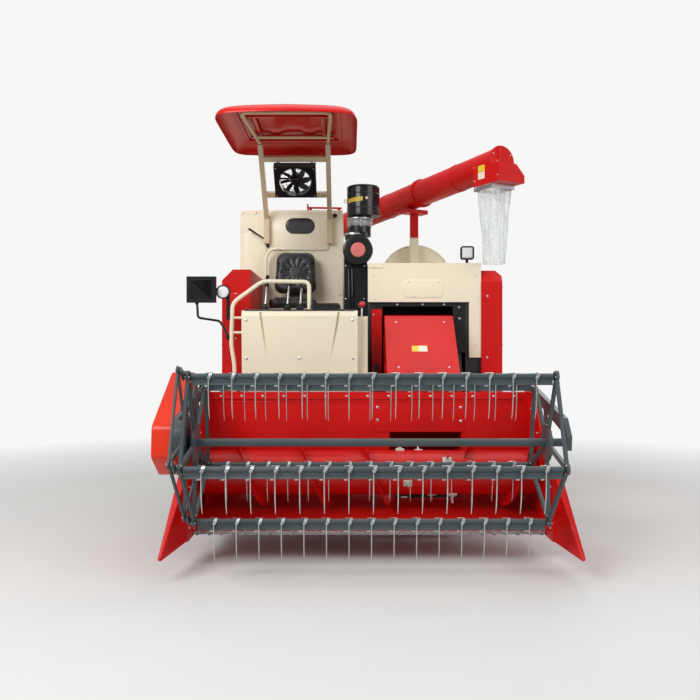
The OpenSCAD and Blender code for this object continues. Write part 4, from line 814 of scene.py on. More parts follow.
# %% [markdown]
# The canopy is a single red moulding. Its skin is one sheet: a crowned middle with three long raised
# pads, falling over a wide shoulder to a lip that hangs down, and bowed forward at its front. A grid of
# points follows one height formula, and the inside is the same sheet set in by its thickness. Underneath
# two rectangles, one inside the other, are pressed into the sheet, and pads take the ends of the posts.

# %% Canopy
CANOPY_LOW, CANOPY_HIGH = box["canopy"]
CANOPY_MID = (CANOPY_LOW + CANOPY_HIGH) / 2
HALF_X, HALF_Y, BOW = (CANOPY_HIGH.x - CANOPY_LOW.x) / 2, (CANOPY_HIGH.y - CANOPY_LOW.y) / 2, 0.060
CANOPY_TALL, CROWN, SKIN, SQUARE = CANOPY_HIGH.z - CANOPY_LOW.z - 0.001, 0.024, 0.005, 9.0
NU, NV = 72, 96


def canopy_point(u, v, grow):
    """u and v run from -1 to 1; grow is how far the sheet is set in."""
    reach = max(abs(u), abs(v))
    r = (abs(u) ** SQUARE + abs(v) ** SQUARE) ** (1 / SQUARE)
    scale = 1 if r == 0 else min(1, reach / r)
    x, y = u * scale, v * scale
    edge = max(0.0, (reach - 0.78) / 0.22)
    drop = 1 - math.sqrt(max(0.0, 1 - edge * edge)) if edge < 1 else 1
    crown = 0.012 * (1 - x * x) * (1 - y * y)
    pad = sum(0.011 * math.exp(-((x - c) / 0.17) ** 6) for c in (-0.52, 0.0, 0.52)) * math.exp(-(y / 0.72) ** 8)
    z = max(CANOPY_LOW.z, CANOPY_HIGH.z - CROWN + crown + pad - drop * (CANOPY_TALL - CROWN) - grow)
    bowed = BOW * abs(x) ** 1.6 * max(0.0, -y)
    return Vector((CANOPY_MID.x + x * (HALF_X - grow), CANOPY_MID.y + y * (HALF_Y - grow) + bowed, z))


roof = Shop("canopy_shell", "red_paint", smooth=60, stands_for=["canopy"])
under = Shop("canopy_ribs", "red_paint", bevel=0.002)
across, back = ([math.sin(math.pi / 2 * (2 * k / n - 1)) for k in range(n + 1)] for n in (NU, NV))
row = NU + 1
for grow, turned_over in ((0.0, 1), (SKIN, -1)):
    roof.add([canopy_point(u, v, grow) for v in back for u in across],
             [[j * row + i, j * row + i + 1, (j + 1) * row + i + 1, (j + 1) * row + i][::turned_over]
              for j in range(NV) for i in range(NU)])
border = [*range(row), *(j * row + NU for j in range(1, NV + 1)), *(NV * row + i for i in range(NU - 1, -1, -1)),
          *(j * row for j in range(NV - 1, 0, -1))]
shift = row * (NV + 1)
roof.faces += [[a, b, b + shift, a + shift] for a, b in zip(border, border[1:] + border[:1])]
top = Vector((CANOPY_MID.x, CANOPY_MID.y, CANOPY_HIGH.z))
for wide, deep in ((0.375, 0.415), (0.255, 0.270)):
    for s in (-1, 1):
        under.block(top + Vector((s * wide - 0.014, -deep, -0.038)), top + Vector((s * wide + 0.014, deep, -0.022)))
        under.block(top + Vector((-wide, s * deep - 0.014, -0.038)), top + Vector((wide, s * deep + 0.014, -0.022)))
for post in grid((-0.887, -0.281), (0.760, 1.330), CANOPY_HIGH.z):
    under.block(post + Vector((-0.030, 0, -0.0455)), post + Vector((0.030, 0.060, -0.026)))
build(roof, under)

# %% [markdown]
# The operator's fan hangs between the posts: eight broad curved blades behind a wire guard.

# %% Fan
FAN = pivot["fan_spin"]
BACK = Vector(joints["fan_spin"]["axis"]).normalized()
RISE = X.cross(BACK).normalized()
FACE, BLADES, HUB_R, BLADE_LONG = (X, RISE), 8, 0.036, 0.092
fan = Shop("fan_blades", "black_gloss", "fan", 50, stands_for=["fan_rotor"])
guard, frame_screws = Shop("fan_guard", "black_gloss"), Shop("canopy_frame_bolts", "bolt_zinc")
fan.turned(FAN - BACK * 0.014, BACK, [(0, 0.026), (0.004, 0.036), (0.012, 0.041), (0.040, 0.041)], 28)
for out in circle(Vector(), 1, BLADES, 0, FACE):
    side, rings = out.cross(BACK), []
    for t in (k / 7 for k in range(8)):
        wide, lean = 0.020 + 0.030 * math.sin(math.pi * (0.15 + 0.75 * t)), 0.62 - 0.28 * t
        chord = side * (math.cos(lean) * wide / 2) + BACK * (math.sin(lean) * wide / 2)
        middle = FAN + BACK * 0.008 + out * (HUB_R + BLADE_LONG * t) + side * (0.020 * t * t)
        rings.append([middle + chord * c + BACK * d for c, d in ((-1, -0.001), (0, 0.0025), (1, -0.001), (1, 0.001),
                                                                 (0, 0.0055), (-1, 0.001))])
    fan.loops(rings)
for r in (0.045, 0.075, 0.105, 0.131):
    guard.tube(circle(FAN - BACK * 0.0245, r, 40, 0, FACE), 0.0016, 5, closed=True)
for way in circle(Vector(), 1, 6, 15, FACE):
    guard.tube([FAN - BACK * 0.0262 + way * r for r in (0.020, 0.136)], 0.0018, 5)
guard.turned(FAN + BACK * 0.046, BACK, [(0, 0.040), (0.030, 0.040), (0.038, 0.030)], 24)
for wide, tall, back, size in ((0.158, 0.132, -0.020, 0.005), (0.250, 0.1755, 0.050, 0.006)):
    frame_screws.bolts([FAN + X * (sx * wide) + RISE * (sy * tall) + BACK * back for sx, sy in CORNERS], -BACK, size)
build(fan, guard, frame_screws)

# %% [markdown]
# The seat is foam in ribbed vinyl. Each cushion starts as a block with rounded corners, is remeshed finely
# and blown up by a short cloth simulation, so that its faces crown and its sides pull in. The sewn channels
# are pressed in afterwards, because remeshing would erase them: straight ones from front to back on the
# cushion, and short ones that point away from the middle of the backrest.

# %% Seat
CHANNEL_PITCH, CHANNEL_DEPTH, RAYS = 0.052, 0.007, 12
VOXEL, PRESSURE, FRAMES, SWELL_CAP, FIRMNESS = 0.008, 4, 15, 0.016, 0.75
SEAT_X, SEAT_LEAN = -0.600, math.radians(-11)
SEAT_PLAN = [(-0.210, -0.200), (0.210, -0.200), (0.205, 0.200), (-0.205, 0.200)]
BACK_PLAN = [(-0.200, -0.1975), (0.200, -0.1975), (0.176, 0.1975), (-0.176, 0.1975)]


def applied(piece):
    bpy.context.view_layer.update()
    done = bpy.data.meshes.new_from_object(piece.evaluated_get(bpy.context.evaluated_depsgraph_get()))
    piece.modifiers.clear()
    piece.data = done


def blown_up(piece):
    fine = piece.modifiers.new("fine", "REMESH")
    fine.mode, fine.voxel_size = "VOXEL", VOXEL
    applied(piece)
    start = [v.co.copy() for v in piece.data.vertices]
    cloth = piece.modifiers.new("swell", "CLOTH")
    cloth.settings.use_pressure, cloth.settings.uniform_pressure_force = True, PRESSURE
    cloth.settings.effector_weights.gravity = 0
    cloth.collision_settings.use_collision = False
    for number in range(1, FRAMES + 1):
        scene.frame_set(number)
    applied(piece)
    scene.frame_set(1)
    for v, was in zip(piece.data.vertices, start):
        move = v.co - was
        if move.length > SWELL_CAP:
            v.co = was + move * (SWELL_CAP / move.length)


def straight_channels(p):
    """How deep the seams are pressed at a point of the cushion: rows from front to back."""
    inside = min(1, max(0, (0.18 - abs(p.x)) / 0.02))
    return (1 - abs(math.sin(math.pi * p.x / CHANNEL_PITCH)) ** 0.55) * inside


def ray_channels(p):
    """Short slots that point away from the middle of the backrest."""
    away, angle = math.hypot(p.x, p.z), math.atan2(p.z, p.x)
    inside = min(1, max(0, (away - 0.040) / 0.012)) * min(1, max(0, (0.128 - away) / 0.012))
    return max(0, abs(math.cos(RAYS / 2 * angle)) - 0.45) / 0.55 * inside


def seat_piece(name, node, middle, lean, outline, corner, thick, edge, flat, channels):
    """flat holds the two directions of the outline and the one that the cushion's face looks in."""
    steps = [(0, edge), (edge * 0.15, edge * 0.5), (edge * 0.5, edge * 0.13), (edge, 0)]
    steps += [(thick - d, inset) for d, inset in steps[::-1]]
    rings = shells(Vector(), rounded_outline(outline, corner, 8), [(d - thick / 2, s) for d, s in steps], flat)
    piece = Shop(name, "seat_vinyl").loops(rings).solid()
    blown_up(piece)
    for v in piece.data.vertices:
        if v.normal.dot(flat[2]) > 0.4:
            v.co -= flat[2] * CHANNEL_DEPTH * channels(v.co)
    smooth = piece.modifiers.new("smooth", "SUBSURF")
    smooth.levels = smooth.render_levels = 1
    applied(piece)
    piece.data.materials.append(FINISH["seat_vinyl"])
    piece.data.shade_smooth()
    piece.location, piece.rotation_euler = middle, (lean, 0, 0)
    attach(piece, "root")
    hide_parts(node)
    print(name, "points", len(piece.data.vertices))


seat_piece("seat_cushion_pad", "seat_cushion", at(SEAT_X, 1.670, 1.7445), 0,
           SEAT_PLAN, 0.075, 0.078, 0.028, (X, Y, Z), straight_channels)
seat_piece("seat_back_pad", "seat_back", at(SEAT_X, 1.892, 2.032), SEAT_LEAN,
           BACK_PLAN, 0.105, 0.062, 0.022, (X, Z, -Y), ray_channels)
seat_steel = Shop("seat_back_plate", "frame_paint", bevel=0.003)
seat_steel.block(at(SEAT_X - 0.060, 1.893, 1.7005), at(SEAT_X + 0.060, 1.922, 1.998))
seat_steel.tube(grid(SEAT_X - 0.19, (1.85, 1.50), 1.7055), 0.004)
seat_steel.bolts(grid((SEAT_X - 0.035, SEAT_X + 0.035), 1.893, (1.74, 1.80)), -Y)
build(seat_steel)

# %% [markdown]
# Under the unloader's outlet hangs a sleeve of clear vinyl. It is one sheet rolled into a tube, square
# where it is clamped to the outlet and narrower and creased lower down, so it is built as rings whose
# outline goes from a rounded square to a smaller one, with creases that grow towards the hem.

# %% Discharge sleeve
SLEEVE_LOW, SLEEVE_HIGH = box["discharge_sleeve"]
SLEEVE_MID = (SLEEVE_LOW + SLEEVE_HIGH) / 2
SLEEVE_TOP_HALF, SLEEVE_END_HALF, SLEEVE_WALL = 0.104, 0.078, 0.0012
ROWS, ROUND = 60, 96
ELEVATOR = pivot["unloader_swing"]
reach = Vector((SLEEVE_MID.x - ELEVATOR.x, SLEEVE_MID.y - ELEVATOR.y, 0)).normalized()
beside = Vector((-reach.y, reach.x, 0))
rings = []
for t in (j / ROWS for j in range(ROWS + 1)):
    z = SLEEVE_HIGH.z - 0.004 - t * (SLEEVE_HIGH.z - SLEEVE_LOW.z - 0.006)
    half = SLEEVE_TOP_HALF + (SLEEVE_END_HALF - SLEEVE_TOP_HALF) * max(0, (t - 0.12) / 0.88) ** 0.8
    square, ring = 6 - 3.4 * t, []
    for k in range(ROUND):
        a = 2 * math.pi * k / ROUND
        c, s = math.cos(a), math.sin(a)
        crease = noise.noise(Vector((c * 2.4, s * 2.4, z * 5.5)))
        fold = abs(noise.noise(Vector((c * 3.5 + 9, s * 3.5, z * 2.2)))) - 0.2
        r = half / (abs(c) ** square + abs(s) ** square) ** (1 / square)
        r += min(t * 4, 1) * (crease * 0.010 + fold * 0.016) - (0.004 if 0.075 < t < 0.1 else 0)
        ring.append(SLEEVE_MID + reach * (c * r) + beside * (s * r) + Z * (z - SLEEVE_MID.z))
    rings.append(ring)
sleeve = Shop("clear_sleeve", "clear_vinyl", "unloader", 180, stands_for=["discharge_sleeve"])
sleeve = sleeve.loops(rings, caps=False).make()
thick = sleeve.modifiers.new("wall", "SOLIDIFY")
thick.thickness, thick.offset = SLEEVE_WALL, -1
girths = [sum((ring[k] - ring[k - 1]).length for k in range(ROUND)) for ring in rings]
sleeve_area = sum((girths[j] + girths[j + 1]) / 2 * (rings[j][0].z - rings[j + 1][0].z) for j in range(ROWS))
sleeve_long = SLEEVE_HIGH.z - SLEEVE_LOW.z - 0.010
SLEEVE_FLAT = (round(sleeve_area / sleeve_long, 3), round(sleeve_long, 3))
print("sleeve cut", SLEEVE_FLAT)

# %% [markdown]
# A pale steel frame clamps the sleeve under the outlet head. Bolt circles and straps dress the tube, a ring
# and a bracket its far end, and a blank label in two colours the side of the outlet head.

# %% Outlet frame and unloader fittings
UNLOADER_R, TUBE_TILT, TUBE_END, HEAD_HALF = 0.112, math.radians(3.3), 3.300, 0.125
along = reach * math.cos(TUBE_TILT) + Z * math.sin(TUBE_TILT)
above = (Z - along * along.z).normalized()
TUBE_PLANE = beside, above
clamp = Shop("sleeve_clamp", "bright_steel", "unloader", bevel=0.001)
head_band, head_label = (Shop(name, finish, "unloader") for name, finish in
                         (("outlet_label_band", "yellow_band"), ("outlet_label", "plain_label")))
tube_bolts = Shop("unloader_bolts", "bolt_zinc", "unloader")
straps = Shop("unloader_bands", "red_paint", "unloader", 40)
neck_bolts = Shop("elbow_bolts", "bolt_zinc", "unloader_base")
mouth = Vector((SLEEVE_MID.x, SLEEVE_MID.y, SLEEVE_HIGH.z))
for out, way in ((reach, beside), (-reach, beside), (beside, reach), (-beside, reach)):
    middle = mouth - Z * 0.047 + out * 0.110
    clamp.slab(middle, way, Z, (0.224, 0.030), 0.004)
    tube_bolts.bolts([middle + way * s + out * 0.002 for s in (-0.09, 0.09)], out, 0.006)
for start in (0.260, 2.195):
    tube_bolts.bolts(circle(ELEVATOR + along * start, UNLOADER_R + 0.007, 12, 15, TUBE_PLANE), -along, 0.005)
edge, strap, ring = UNLOADER_R + 0.0002, UNLOADER_R + 0.0035, UNLOADER_R + 0.0065
for start in (1.05, 1.65, 2.75):
    straps.turned(ELEVATOR + along * start, along, [(0, edge), (0.001, strap), (0.029, strap), (0.030, edge)], 64)
end = ELEVATOR + along * TUBE_END
straps.turned(end - along * 0.003, along, [(0, edge), (0.001, ring), (0.009, ring), (0.010, 0.09)], 64)
straps.slab(end + along * 0.013 + above * 0.035 - beside * 0.02, beside, above, (0.042, 0.150), 0.010)
tube_bolts.bolts(circle(end + along * 0.007, 0.098, 6, 30, TUBE_PLANE), along, 0.005)
seat = mouth - beside * (HEAD_HALF + 0.0004) + Z * 0.068
head_band.slab(seat + Z * 0.030, reach, Z, (0.080, 0.052), 0.001)
head_label.slab(seat - Z * 0.024, reach, Z, (0.080, 0.052), 0.001)
tube_bolts.bolts([mouth - beside * HEAD_HALF + reach * u + Z * z for u in (-0.085, 0.195) for z in (0.015, 0.120)],
                 -beside, 0.005)
neck_bolts.bolts(circle(ELEVATOR - Z * 0.1597, 0.119, 8, 0, (X, Y)), Z, 0.006)
build(clamp, head_band, head_label, tube_bolts, straps, neck_bolts)

# %% [markdown]
# Tracks: bolted hubs on the sprockets and rollers, and hubs and rims on the idlers. The belts and the lugs
# on their outsides are in the model already.

# %% Tracks and rollers
TRACK_X, SPROCKET, IDLER = (-0.655, 0.595), (1.330, 0.445), (3.420, 0.267)
ROLLER_Y, ROLLER_PITCH, ROLLER_Z = 1.640, 0.3625, 0.157
hubs = Shop("track_hubs", "frame_paint", smooth=40)
wheel_bolts = Shop("track_wheel_bolts", "cast_metal")
for x in TRACK_X:
    for side in (LEFT, RIGHT):
        out = X * side
        hub, idler = at(x + side * 0.045, *SPROCKET), at(x + side * 0.060, *IDLER)
        hubs.turned(hub, out, [(-0.002, 0.078), (0.018, 0.074), (0.022, 0.060)], 32)
        wheel_bolts.bolts(circle(hub + out * 0.0215, 0.066, 8, 22.5), out)
        hubs.turned(idler, out, [(-0.002, 0.075), (0.024, 0.070), (0.028, 0.050)], 32)
        hubs.turned(idler, out, [(-0.002, 0.200), (0.005, 0.198), (0.005, 0.172), (-0.002, 0.168)], 48)
        for roller in grid(x + side * 0.130, [ROLLER_Y + k * ROLLER_PITCH for k in range(5)], ROLLER_Z):
            hubs.turned(roller, out, [(-0.002, 0.044), (0.012, 0.042), (0.016, 0.030)], 24)
            wheel_bolts.bolts(circle(roller + out * 0.012, 0.030, 3), out, 0.006)
build(hubs, wheel_bolts)

# %% [markdown]
# The grain tank's front has a raised cover with rounded corners, and in it sits a smoked sight glass in a
# rubber bezel. Beside it are a stay rod with a grip, a knob, and the grab handle by the driver's shoulder.

# %% Grain tank front
TANK_Y, WINDOW, SIGHT_EDGE = 2.010, at(-0.568, 1.9965, 2.459), 0.060
sheets, tank_bolts = Shop("tank_pressings", "cream_paint"), Shop("tank_bolts", "bolt_zinc")
bezel = Shop("window_bezel", "track_rubber", smooth=60, slot="black_gloss")
sight = Shop("sight_glass", "smoked_glass", smooth=50)
black, red = Shop("tank_knob_and_hinges", "black_gloss", smooth=45), Shop("tank_stay_rod", "red_paint", smooth=45)
grab = Shop("seat_grab_handle", "cream_paint", smooth=60)


def long_hole(half_tall, y):
    """A long hole's outline: two half circles joined by straight lines."""
    return [p for s in (1, -1) for p in arc(WINDOW + X * (s * SIGHT_EDGE) + Y * y, half_tall, -90, 90, 10,
                                            (X * s, Z * s))]


sheets.field(at(-0.5765, TANK_Y, 2.416), X, Z, (0.520, 0.338), rise=0.012, corner=0.035)
sheets.field(at(-0.965, TANK_Y, 2.05), X, Z, (0.19, 0.70), rise=0.006, corner=0.04)
sheets.slab(at(-0.645, TANK_Y + 0.42, 2.602), X, Y, (0.80, 0.70), 0.003)
bezel.tube(long_hole(0.064, 0), 0.006, closed=True)
sight.loops([long_hole(0.062, 0.004), long_hole(0.062, -0.002), long_hole(0.056, -0.0035)])
tank_bolts.bolts(grid((-0.825, -0.328), TANK_Y - 0.0115, (2.575, 2.257)), -Y, 0.006)
tank_bolts.bolts([at(-0.5765, TANK_Y - 0.0115, 2.257)], -Y, 0.006)
tank_bolts.bolts(grid((-0.960, -1.075, -0.215), TANK_Y, 2.576) + grid((-0.215, -1.075), TANK_Y, (2.2, 1.85)), -Y)
for z in (2.30, 2.52):
    black.slab(at(-0.853, TANK_Y - 0.006, z), X, Z, (0.030, 0.06), 0.012)
    black.turned(at(-0.853, TANK_Y - 0.014, z - 0.03), Z, [(0, 0.006), (0.06, 0.006)], 12)
black.turned(at(-0.259, TANK_Y, 2.548), -Y, [(0, 0.008), (0.012, 0.008), (0.016, 0.020), (0.034, 0.020),
                                             (0.040, 0.012)], 20)
black.tube([at(x, TANK_Y - y, z) for x, y, z in ((-0.843, 0, 2.314), (-0.843, 0.03, 2.314), (-0.90, 0.045, 2.352),
                                                 (-0.985, 0.05, 2.407), (-1.019, 0.05, 2.4285))],
           [0.006, 0.006, 0.006, 0.009, 0.0105], 10)
for x in (-0.480, -0.225):
    red.slab(at(x, 2.110, 2.620), X, Z, (0.024, 0.040), 0.010)
red.tube([at(-0.505, 2.110, 2.640), at(-0.200, 2.110, 2.636)], 0.009, 12)
red.tube([at(-0.503, 2.110, 2.606), at(-0.507, 2.110, 2.672)], 0.008, 10)
grab.tube([at(*p) for p in ((-0.862, 1.940, 1.641), (-0.866, 1.940, 2.09), (-0.862, 1.940, 2.17),
                            (-0.845, 1.940, 2.215), (-0.812, 1.940, 2.243), (-0.760, 1.940, 2.252),
                            (-0.70, 1.945, 2.245))], 0.012, 14)
grab.turned(at(-0.862, 1.940, 1.6405), Z, [(0, 0.030), (0.006, 0.030), (0.008, 0.020)], 20)
build(sheets, tank_bolts, bezel, sight, black, red, grab)

# %% [markdown]
# The tank's other walls can't be seen in the photo. They are dressed as such tanks are: upright pressed
# fields that stiffen the sheet, a row of bolts under the rim, a lid, and a round cleaning cover low down.

# %% Grain tank sides
TANK_X, TANK_BACK, REAR_TOP, HOPPER = -1.100, 3.840, 2.480, at(-0.980, 2.925, 1.26)
RIM_AND_SEAM = 2.436, 1.530
sides = Shop("tank_side_pressings", "cream_paint")
clean_out = Shop("tank_cleaning_cover", "cream_paint", smooth=50)
side_bolts = Shop("tank_side_bolts", "bolt_zinc")
for y in (2.325, 2.925, 3.525):
    sides.field(at(TANK_X, y, 1.98), -Y, Z, (0.46, 0.78), rise=0.007, corner=0.05)
sides.field(at(-0.645, TANK_BACK, 1.98), -X, Z, (0.70, 0.78), rise=0.007, corner=0.05)
sides.field(at(-0.645, 3.42, REAR_TOP), X, Y, (0.72, 0.62), rise=0.010, corner=0.05)
side_bolts.bolts(grid(TANK_X, [2.09 + 0.152 * k for k in range(12)], RIM_AND_SEAM), -X, 0.007)
side_bolts.bolts(grid([-1.04 + 0.158 * k for k in range(6)], TANK_BACK, RIM_AND_SEAM), Y, 0.007)
side_bolts.bolts(circle(HOPPER - X * 0.0085, 0.108, 8, 22.5), -X, 0.007)
clean_out.turned(HOPPER, -X, [(-0.001, 0.130), (0.006, 0.130), (0.009, 0.122), (0.009, 0.070), (0.014, 0.062)], 44)
clean_out.tube([HOPPER + Vector((x, y, 0)) for x, y in
                ((-0.012, -0.04), (-0.040, -0.04), (-0.040, 0.04), (-0.012, 0.04))], 0.006)
build(sides, clean_out, side_bolts)

# %% [markdown]
# The air intake: a rotary pre-cleaner with a rolled rim, a yellow band, a clear bowl for the dust, clamps
# with a screw, and the round cover of the filter canister with a plain pink disc. Two hoses run down the
# column below.

# %% Air intake
CLEANER, CLEANER_R, CANISTER = at(-0.015, 1.550, 2.465), 0.135, at(-0.062, 1.330, 2.165)
BOWL, COLUMN_Y = at(-0.045, 1.580, 2.384), 1.4795
intake, band = Shop("intake_rims", "black_gloss", smooth=50), Shop("intake_band", "yellow_band")
dot, bowl = Shop("intake_plug", "plain_label"), Shop("intake_bowl", "clear_bowl", smooth=60)
clamps = Shop("intake_clamps", "bright_steel", smooth=45)
disc = Shop("canister_disc", "pink_disc", smooth=50)


def on_cleaner(angle, up, out):
    return circle(CLEANER + Z * up, CLEANER_R + out, 1, angle, (-Y, X))[0]


intake.turned(CLEANER + Z * 0.240, Z, [(-0.012, 0.136), (-0.002, 0.1365), (0.006, 0.131), (0.010, 0.118),
                                       (0.006, 0.100)], 40)
intake.turned(CLEANER + Z * 0.004, Z, [(0, 0.137), (0.010, 0.1385), (0.016, 0.137)], 40)
for z in (0.060, 0.180):
    intake.turned(CLEANER + Z * z, Z, [(-0.004, CLEANER_R), (0, CLEANER_R + 0.0025), (0.004, CLEANER_R)], 40)
band.loops([[on_cleaner(a, z + a * 0.00018, d) for z, d in ((0.112, 0.0004), (0.112, 0.0012), (0.147, 0.0012),
                                                            (0.147, 0.0004))] for a in range(-66, -2, 7)])
dot.turned(on_cleaner(10, 0.134, -0.0003), on_cleaner(10, 0, 1) - on_cleaner(10, 0, 0),
           [(0, 0.011), (0.0015, 0.011), (0.002, 0.009)], 16)
clamps.tube(circle(on_cleaner(-88, 0.128, 0.013), 0.013, 16, 0, (X, Z)), 0.003, closed=True)
bowl.turned(BOWL, Z, [(0, 0.098), (0.004, 0.104), (0.050, 0.106), (0.056, 0.099)], 40)
clamps.turned(BOWL + Z * 0.056, Z, [(0, 0.0985), (0.003, 0.1075), (0.012, 0.1075), (0.014, 0.0985)], 40)
clamps.turned(at(-0.075, 1.600, 2.314), Z, [(0, 0.0955), (0.001, 0.0975), (0.018, 0.0975), (0.019, 0.0955)], 40)
clamps.bolts([at(-0.050, 1.501, 2.323)], X)
for angle in (-50, 5, 55):
    out = circle(Vector(), 1, 1, angle, (-Y, X))[0]
    clamps.slab(BOWL + Z * 0.028 + out * 0.108, Z.cross(out), Z, (0.014, 0.075), 0.003)
intake.turned(CANISTER + Y * 0.030, -Y, [(0, 0.0925), (0.002, 0.118), (0.012, 0.122), (0.026, 0.116),
                                         (0.030, 0.100), (0.034, 0.064)], 44)
disc.turned(CANISTER - Y * 0.0035, -Y, [(0, 0.058), (0.002, 0.058), (0.0035, 0.054)], 36)
for out in circle(Vector(), 1, 4, 45, (X, Z)):
    clamps.slab(CANISTER + Y * 0.050 + out * 0.097, out.cross(Y), Y, (0.016, 0.055), 0.003)
for z in (1.25, 1.60, 1.95):
    intake.slab(at(-0.085, COLUMN_Y, z), X, Z, (0.15, 0.012), 0.006)
clamps.bolts(grid((-0.160, -0.010), 1.480, (1.12, 1.42, 1.78, 2.05)), -Y, 0.006)
for x, y in ((-0.135, 1.463), (-0.108, 1.466)):
    intake.tube([at(x + dx, hose_y, z) for dx, hose_y, z in ((0, COLUMN_Y, 2.04), (0, y, 2.02), (0.004, y, 1.70),
                                                             (-0.004, y, 1.35), (0, y, 1.14), (0, COLUMN_Y, 1.12))],
                0.009, 10)
build(intake, band, dot, bowl, clamps, disc)

# %% [markdown]
# The thresher's front: small bolts and a shallow pressing in the cream panel, a black frame round the
# opening that the feeder house enters, and a red guard sheet at its left. The side panels and the door are
# pressed too, the door has two latches, and the drum's round cover has a lip at its front and three ribs.

# %% Thresher panels
PANEL_Y, FRAME_Y, SIDE_X, DRUM_COVER = 1.250, 1.2715, 1.080, at(0.476, 0, 1.991)
pressings, drum_lip = Shop("front_pressings", "cream_paint"), Shop("drum_cover_lips", "cream_paint", smooth=60)
side_fields, door_fields = Shop("side_pressings", "red_paint"), Shop("door_pressings", "red_paint", "side_door")
door_latch = Shop("door_latches", "black_gloss", "side_door", bevel=0.002)
black_frame = Shop("feeder_opening_frame", "black_paint", bevel=0.002)
panel_bolts, guard_sheet = Shop("panel_bolts", "bolt_zinc"), Shop("feeder_side_guard", "red_paint", bevel=0.002)
pressings.field(at(0.455, PANEL_Y, 1.845), X, Z, (0.30, 0.130), rise=0.004, corner=0.03)
pressings.slab(at(0.076, PANEL_Y - 0.003, 2.030), X, Z, (0.118, 0.038), 0.006)
guard_sheet.block(at(0.044, 1.257, 1.12), at(0.128, 1.263, 1.684))
for x0, z0, x1, z1 in ((0.036, 1.706, 0.790, 1.7395), (0.036, 1.34, 0.132, 1.7065), (0.694, 1.34, 0.790, 1.7065)):
    black_frame.block(at(x0, FRAME_Y, z0), at(x1, FRAME_Y + 0.0165, z1))
FRONT_BOLTS = (  # distance back, thread, and the places as (across, up)
    (PANEL_Y - 0.0035, 0.005, ((0.341, 1.899), (0.579, 1.899), (0.381, 1.785), (0.540, 1.785))),
    (PANEL_Y, 0.005, ((0.072, 1.765), (0.870, 1.60), (0.870, 1.40), (0.060, 1.95), (0.870, 1.95))),
    (1.257, 0.006, ((0.060, 1.18), (0.060, 1.64))),
    (FRAME_Y, 0.007, ((0.107, 1.674), (0.112, 1.632), (0.740, 1.700), (0.745, 1.61), (0.25, 1.722), (0.45, 1.722),
                      (0.62, 1.722))),
    (1.240, 0.007, ((0.960, 1.787), (0.960, 1.30))))
for y, size, places in FRONT_BOLTS:
    panel_bolts.bolts([at(x, y, z) for x, z in places], -Y, size)
for y0, y1, z0, z1 in ((1.30, 1.92, 0.95, 1.88), (3.25, 4.04, 0.85, 1.88)):
    side_fields.field(at(SIDE_X, (y0 + y1) / 2, (z0 + z1) / 2), Y, Z, (y1 - y0 - 0.06, z1 - z0 - 0.06), 0.007, 0.05)
for z, tall in ((1.66, 0.30), (1.16, 0.44)):
    door_fields.field(at(SIDE_X, 2.46, z), Y, Z, (0.86, tall), 0.008, 0.05)
panel_bolts.bolts([at(SIDE_X, y, z) for y, z in
                   ((1.25, 1.86), (1.25, 1.40), (1.25, 0.95), (1.94, 1.90), (1.94, 0.93), (3.225, 1.90),
                    (3.225, 0.83), (4.065, 1.85), (4.065, 0.83))], X, 0.007)
for z in (1.20, 1.70):
    door_latch.block(at(SIDE_X - 0.001, 1.975, z - 0.045), at(SIDE_X + 0.006, 2.020, z + 0.045))
    door_latch.turned(at(SIDE_X + 0.005, 1.998, z), X, [(0, 0.016), (0.012, 0.015), (0.015, 0.010)], 20)
panel_bolts.bolts(arc(DRUM_COVER + Vector((0, 2.2585, -0.0007)), 0.318, 7.5, 172.5, 12), -Y, 0.006)
drum_lip.tube(arc(DRUM_COVER + Y * 2.262, 0.328, 0, 180, 30), 0.006)
for y in (2.85, 3.42, 3.985):
    drum_lip.tube(arc(DRUM_COVER + Y * y, 0.330, 0, 180, 30), 0.005, 6)
build(guard_sheet, pressings, drum_lip, side_fields, door_fields, door_latch, black_frame, panel_bolts)

# %% [markdown]
# Lamps, the lower sleeve of the unloader's resting post, the flange bolts of the grain elevator, and the
# screen door's wire mesh with a latch. Last come the straw hood's pressings and its two red lenses.

# %% Lamps, post, elevator, screen and hood
WORK_LAMP, SIDE_LAMP = at(0.810, 1.290, 2.135), at(-1.066, 0.830, 1.790)
POST_AWAY, POST_TOP, HOOD_Y, HINGE_X, WIRE = 2.075, 2.371, 4.400, -1.128, 0.0008
MESH_Y, MESH_Z, OVERLAP, UPRIGHTS, CROSS_WIRES = (1.304, 1.866), (0.964, 1.796), 0.002, 55, 80
lens, bezels = Shop("lamp_lenses", "lamp_lens", smooth=60), Shop("lamp_bezels", "black_gloss", smooth=50)
post_cream = Shop("post_lower_sleeve", "cream_paint", bevel=0.002)
mesh = Shop("screen_mesh", "black_paint", "screen_door")
screen_latch = Shop("screen_latch", "black_gloss", "screen_door", bevel=0.001)
hood, red_lamps = Shop("hood_louvres", "red_paint"), Shop("rear_red_lenses", "red_lens", smooth=50)
post_bolts = Shop("post_and_hood_bolts", "bolt_zinc")
square = oblong(0.054, 0.054, 0.022)
bezels.loops(shells(WORK_LAMP, square, [(0.035, 0.004), (0.030, 0), (-0.004, 0), (-0.008, 0.003), (-0.008, 0.009),
                                        (-0.001, 0.012)]))
inner = shrunk(square, 0.0115)
lens.loops([[WORK_LAMP + (X * p.x + Z * p.y) * share + Y * y for p in inner]
            for y, share in ((-0.0012, 1), (-0.004, 0.97), (-0.007, 0.72), (-0.008, 0.35))])
bezels.turned(SIDE_LAMP + Y * 0.004, -Y, [(0, 0.0505), (0.002, 0.053), (0.008, 0.053), (0.010, 0.050),
                                          (0.010, 0.045), (0.005, 0.044)], 32)
lens.turned(SIDE_LAMP + Y * 0.001, -Y, [(0, 0.044), (0.003, 0.043), (0.006, 0.034), (0.0075, 0.018)], 32)
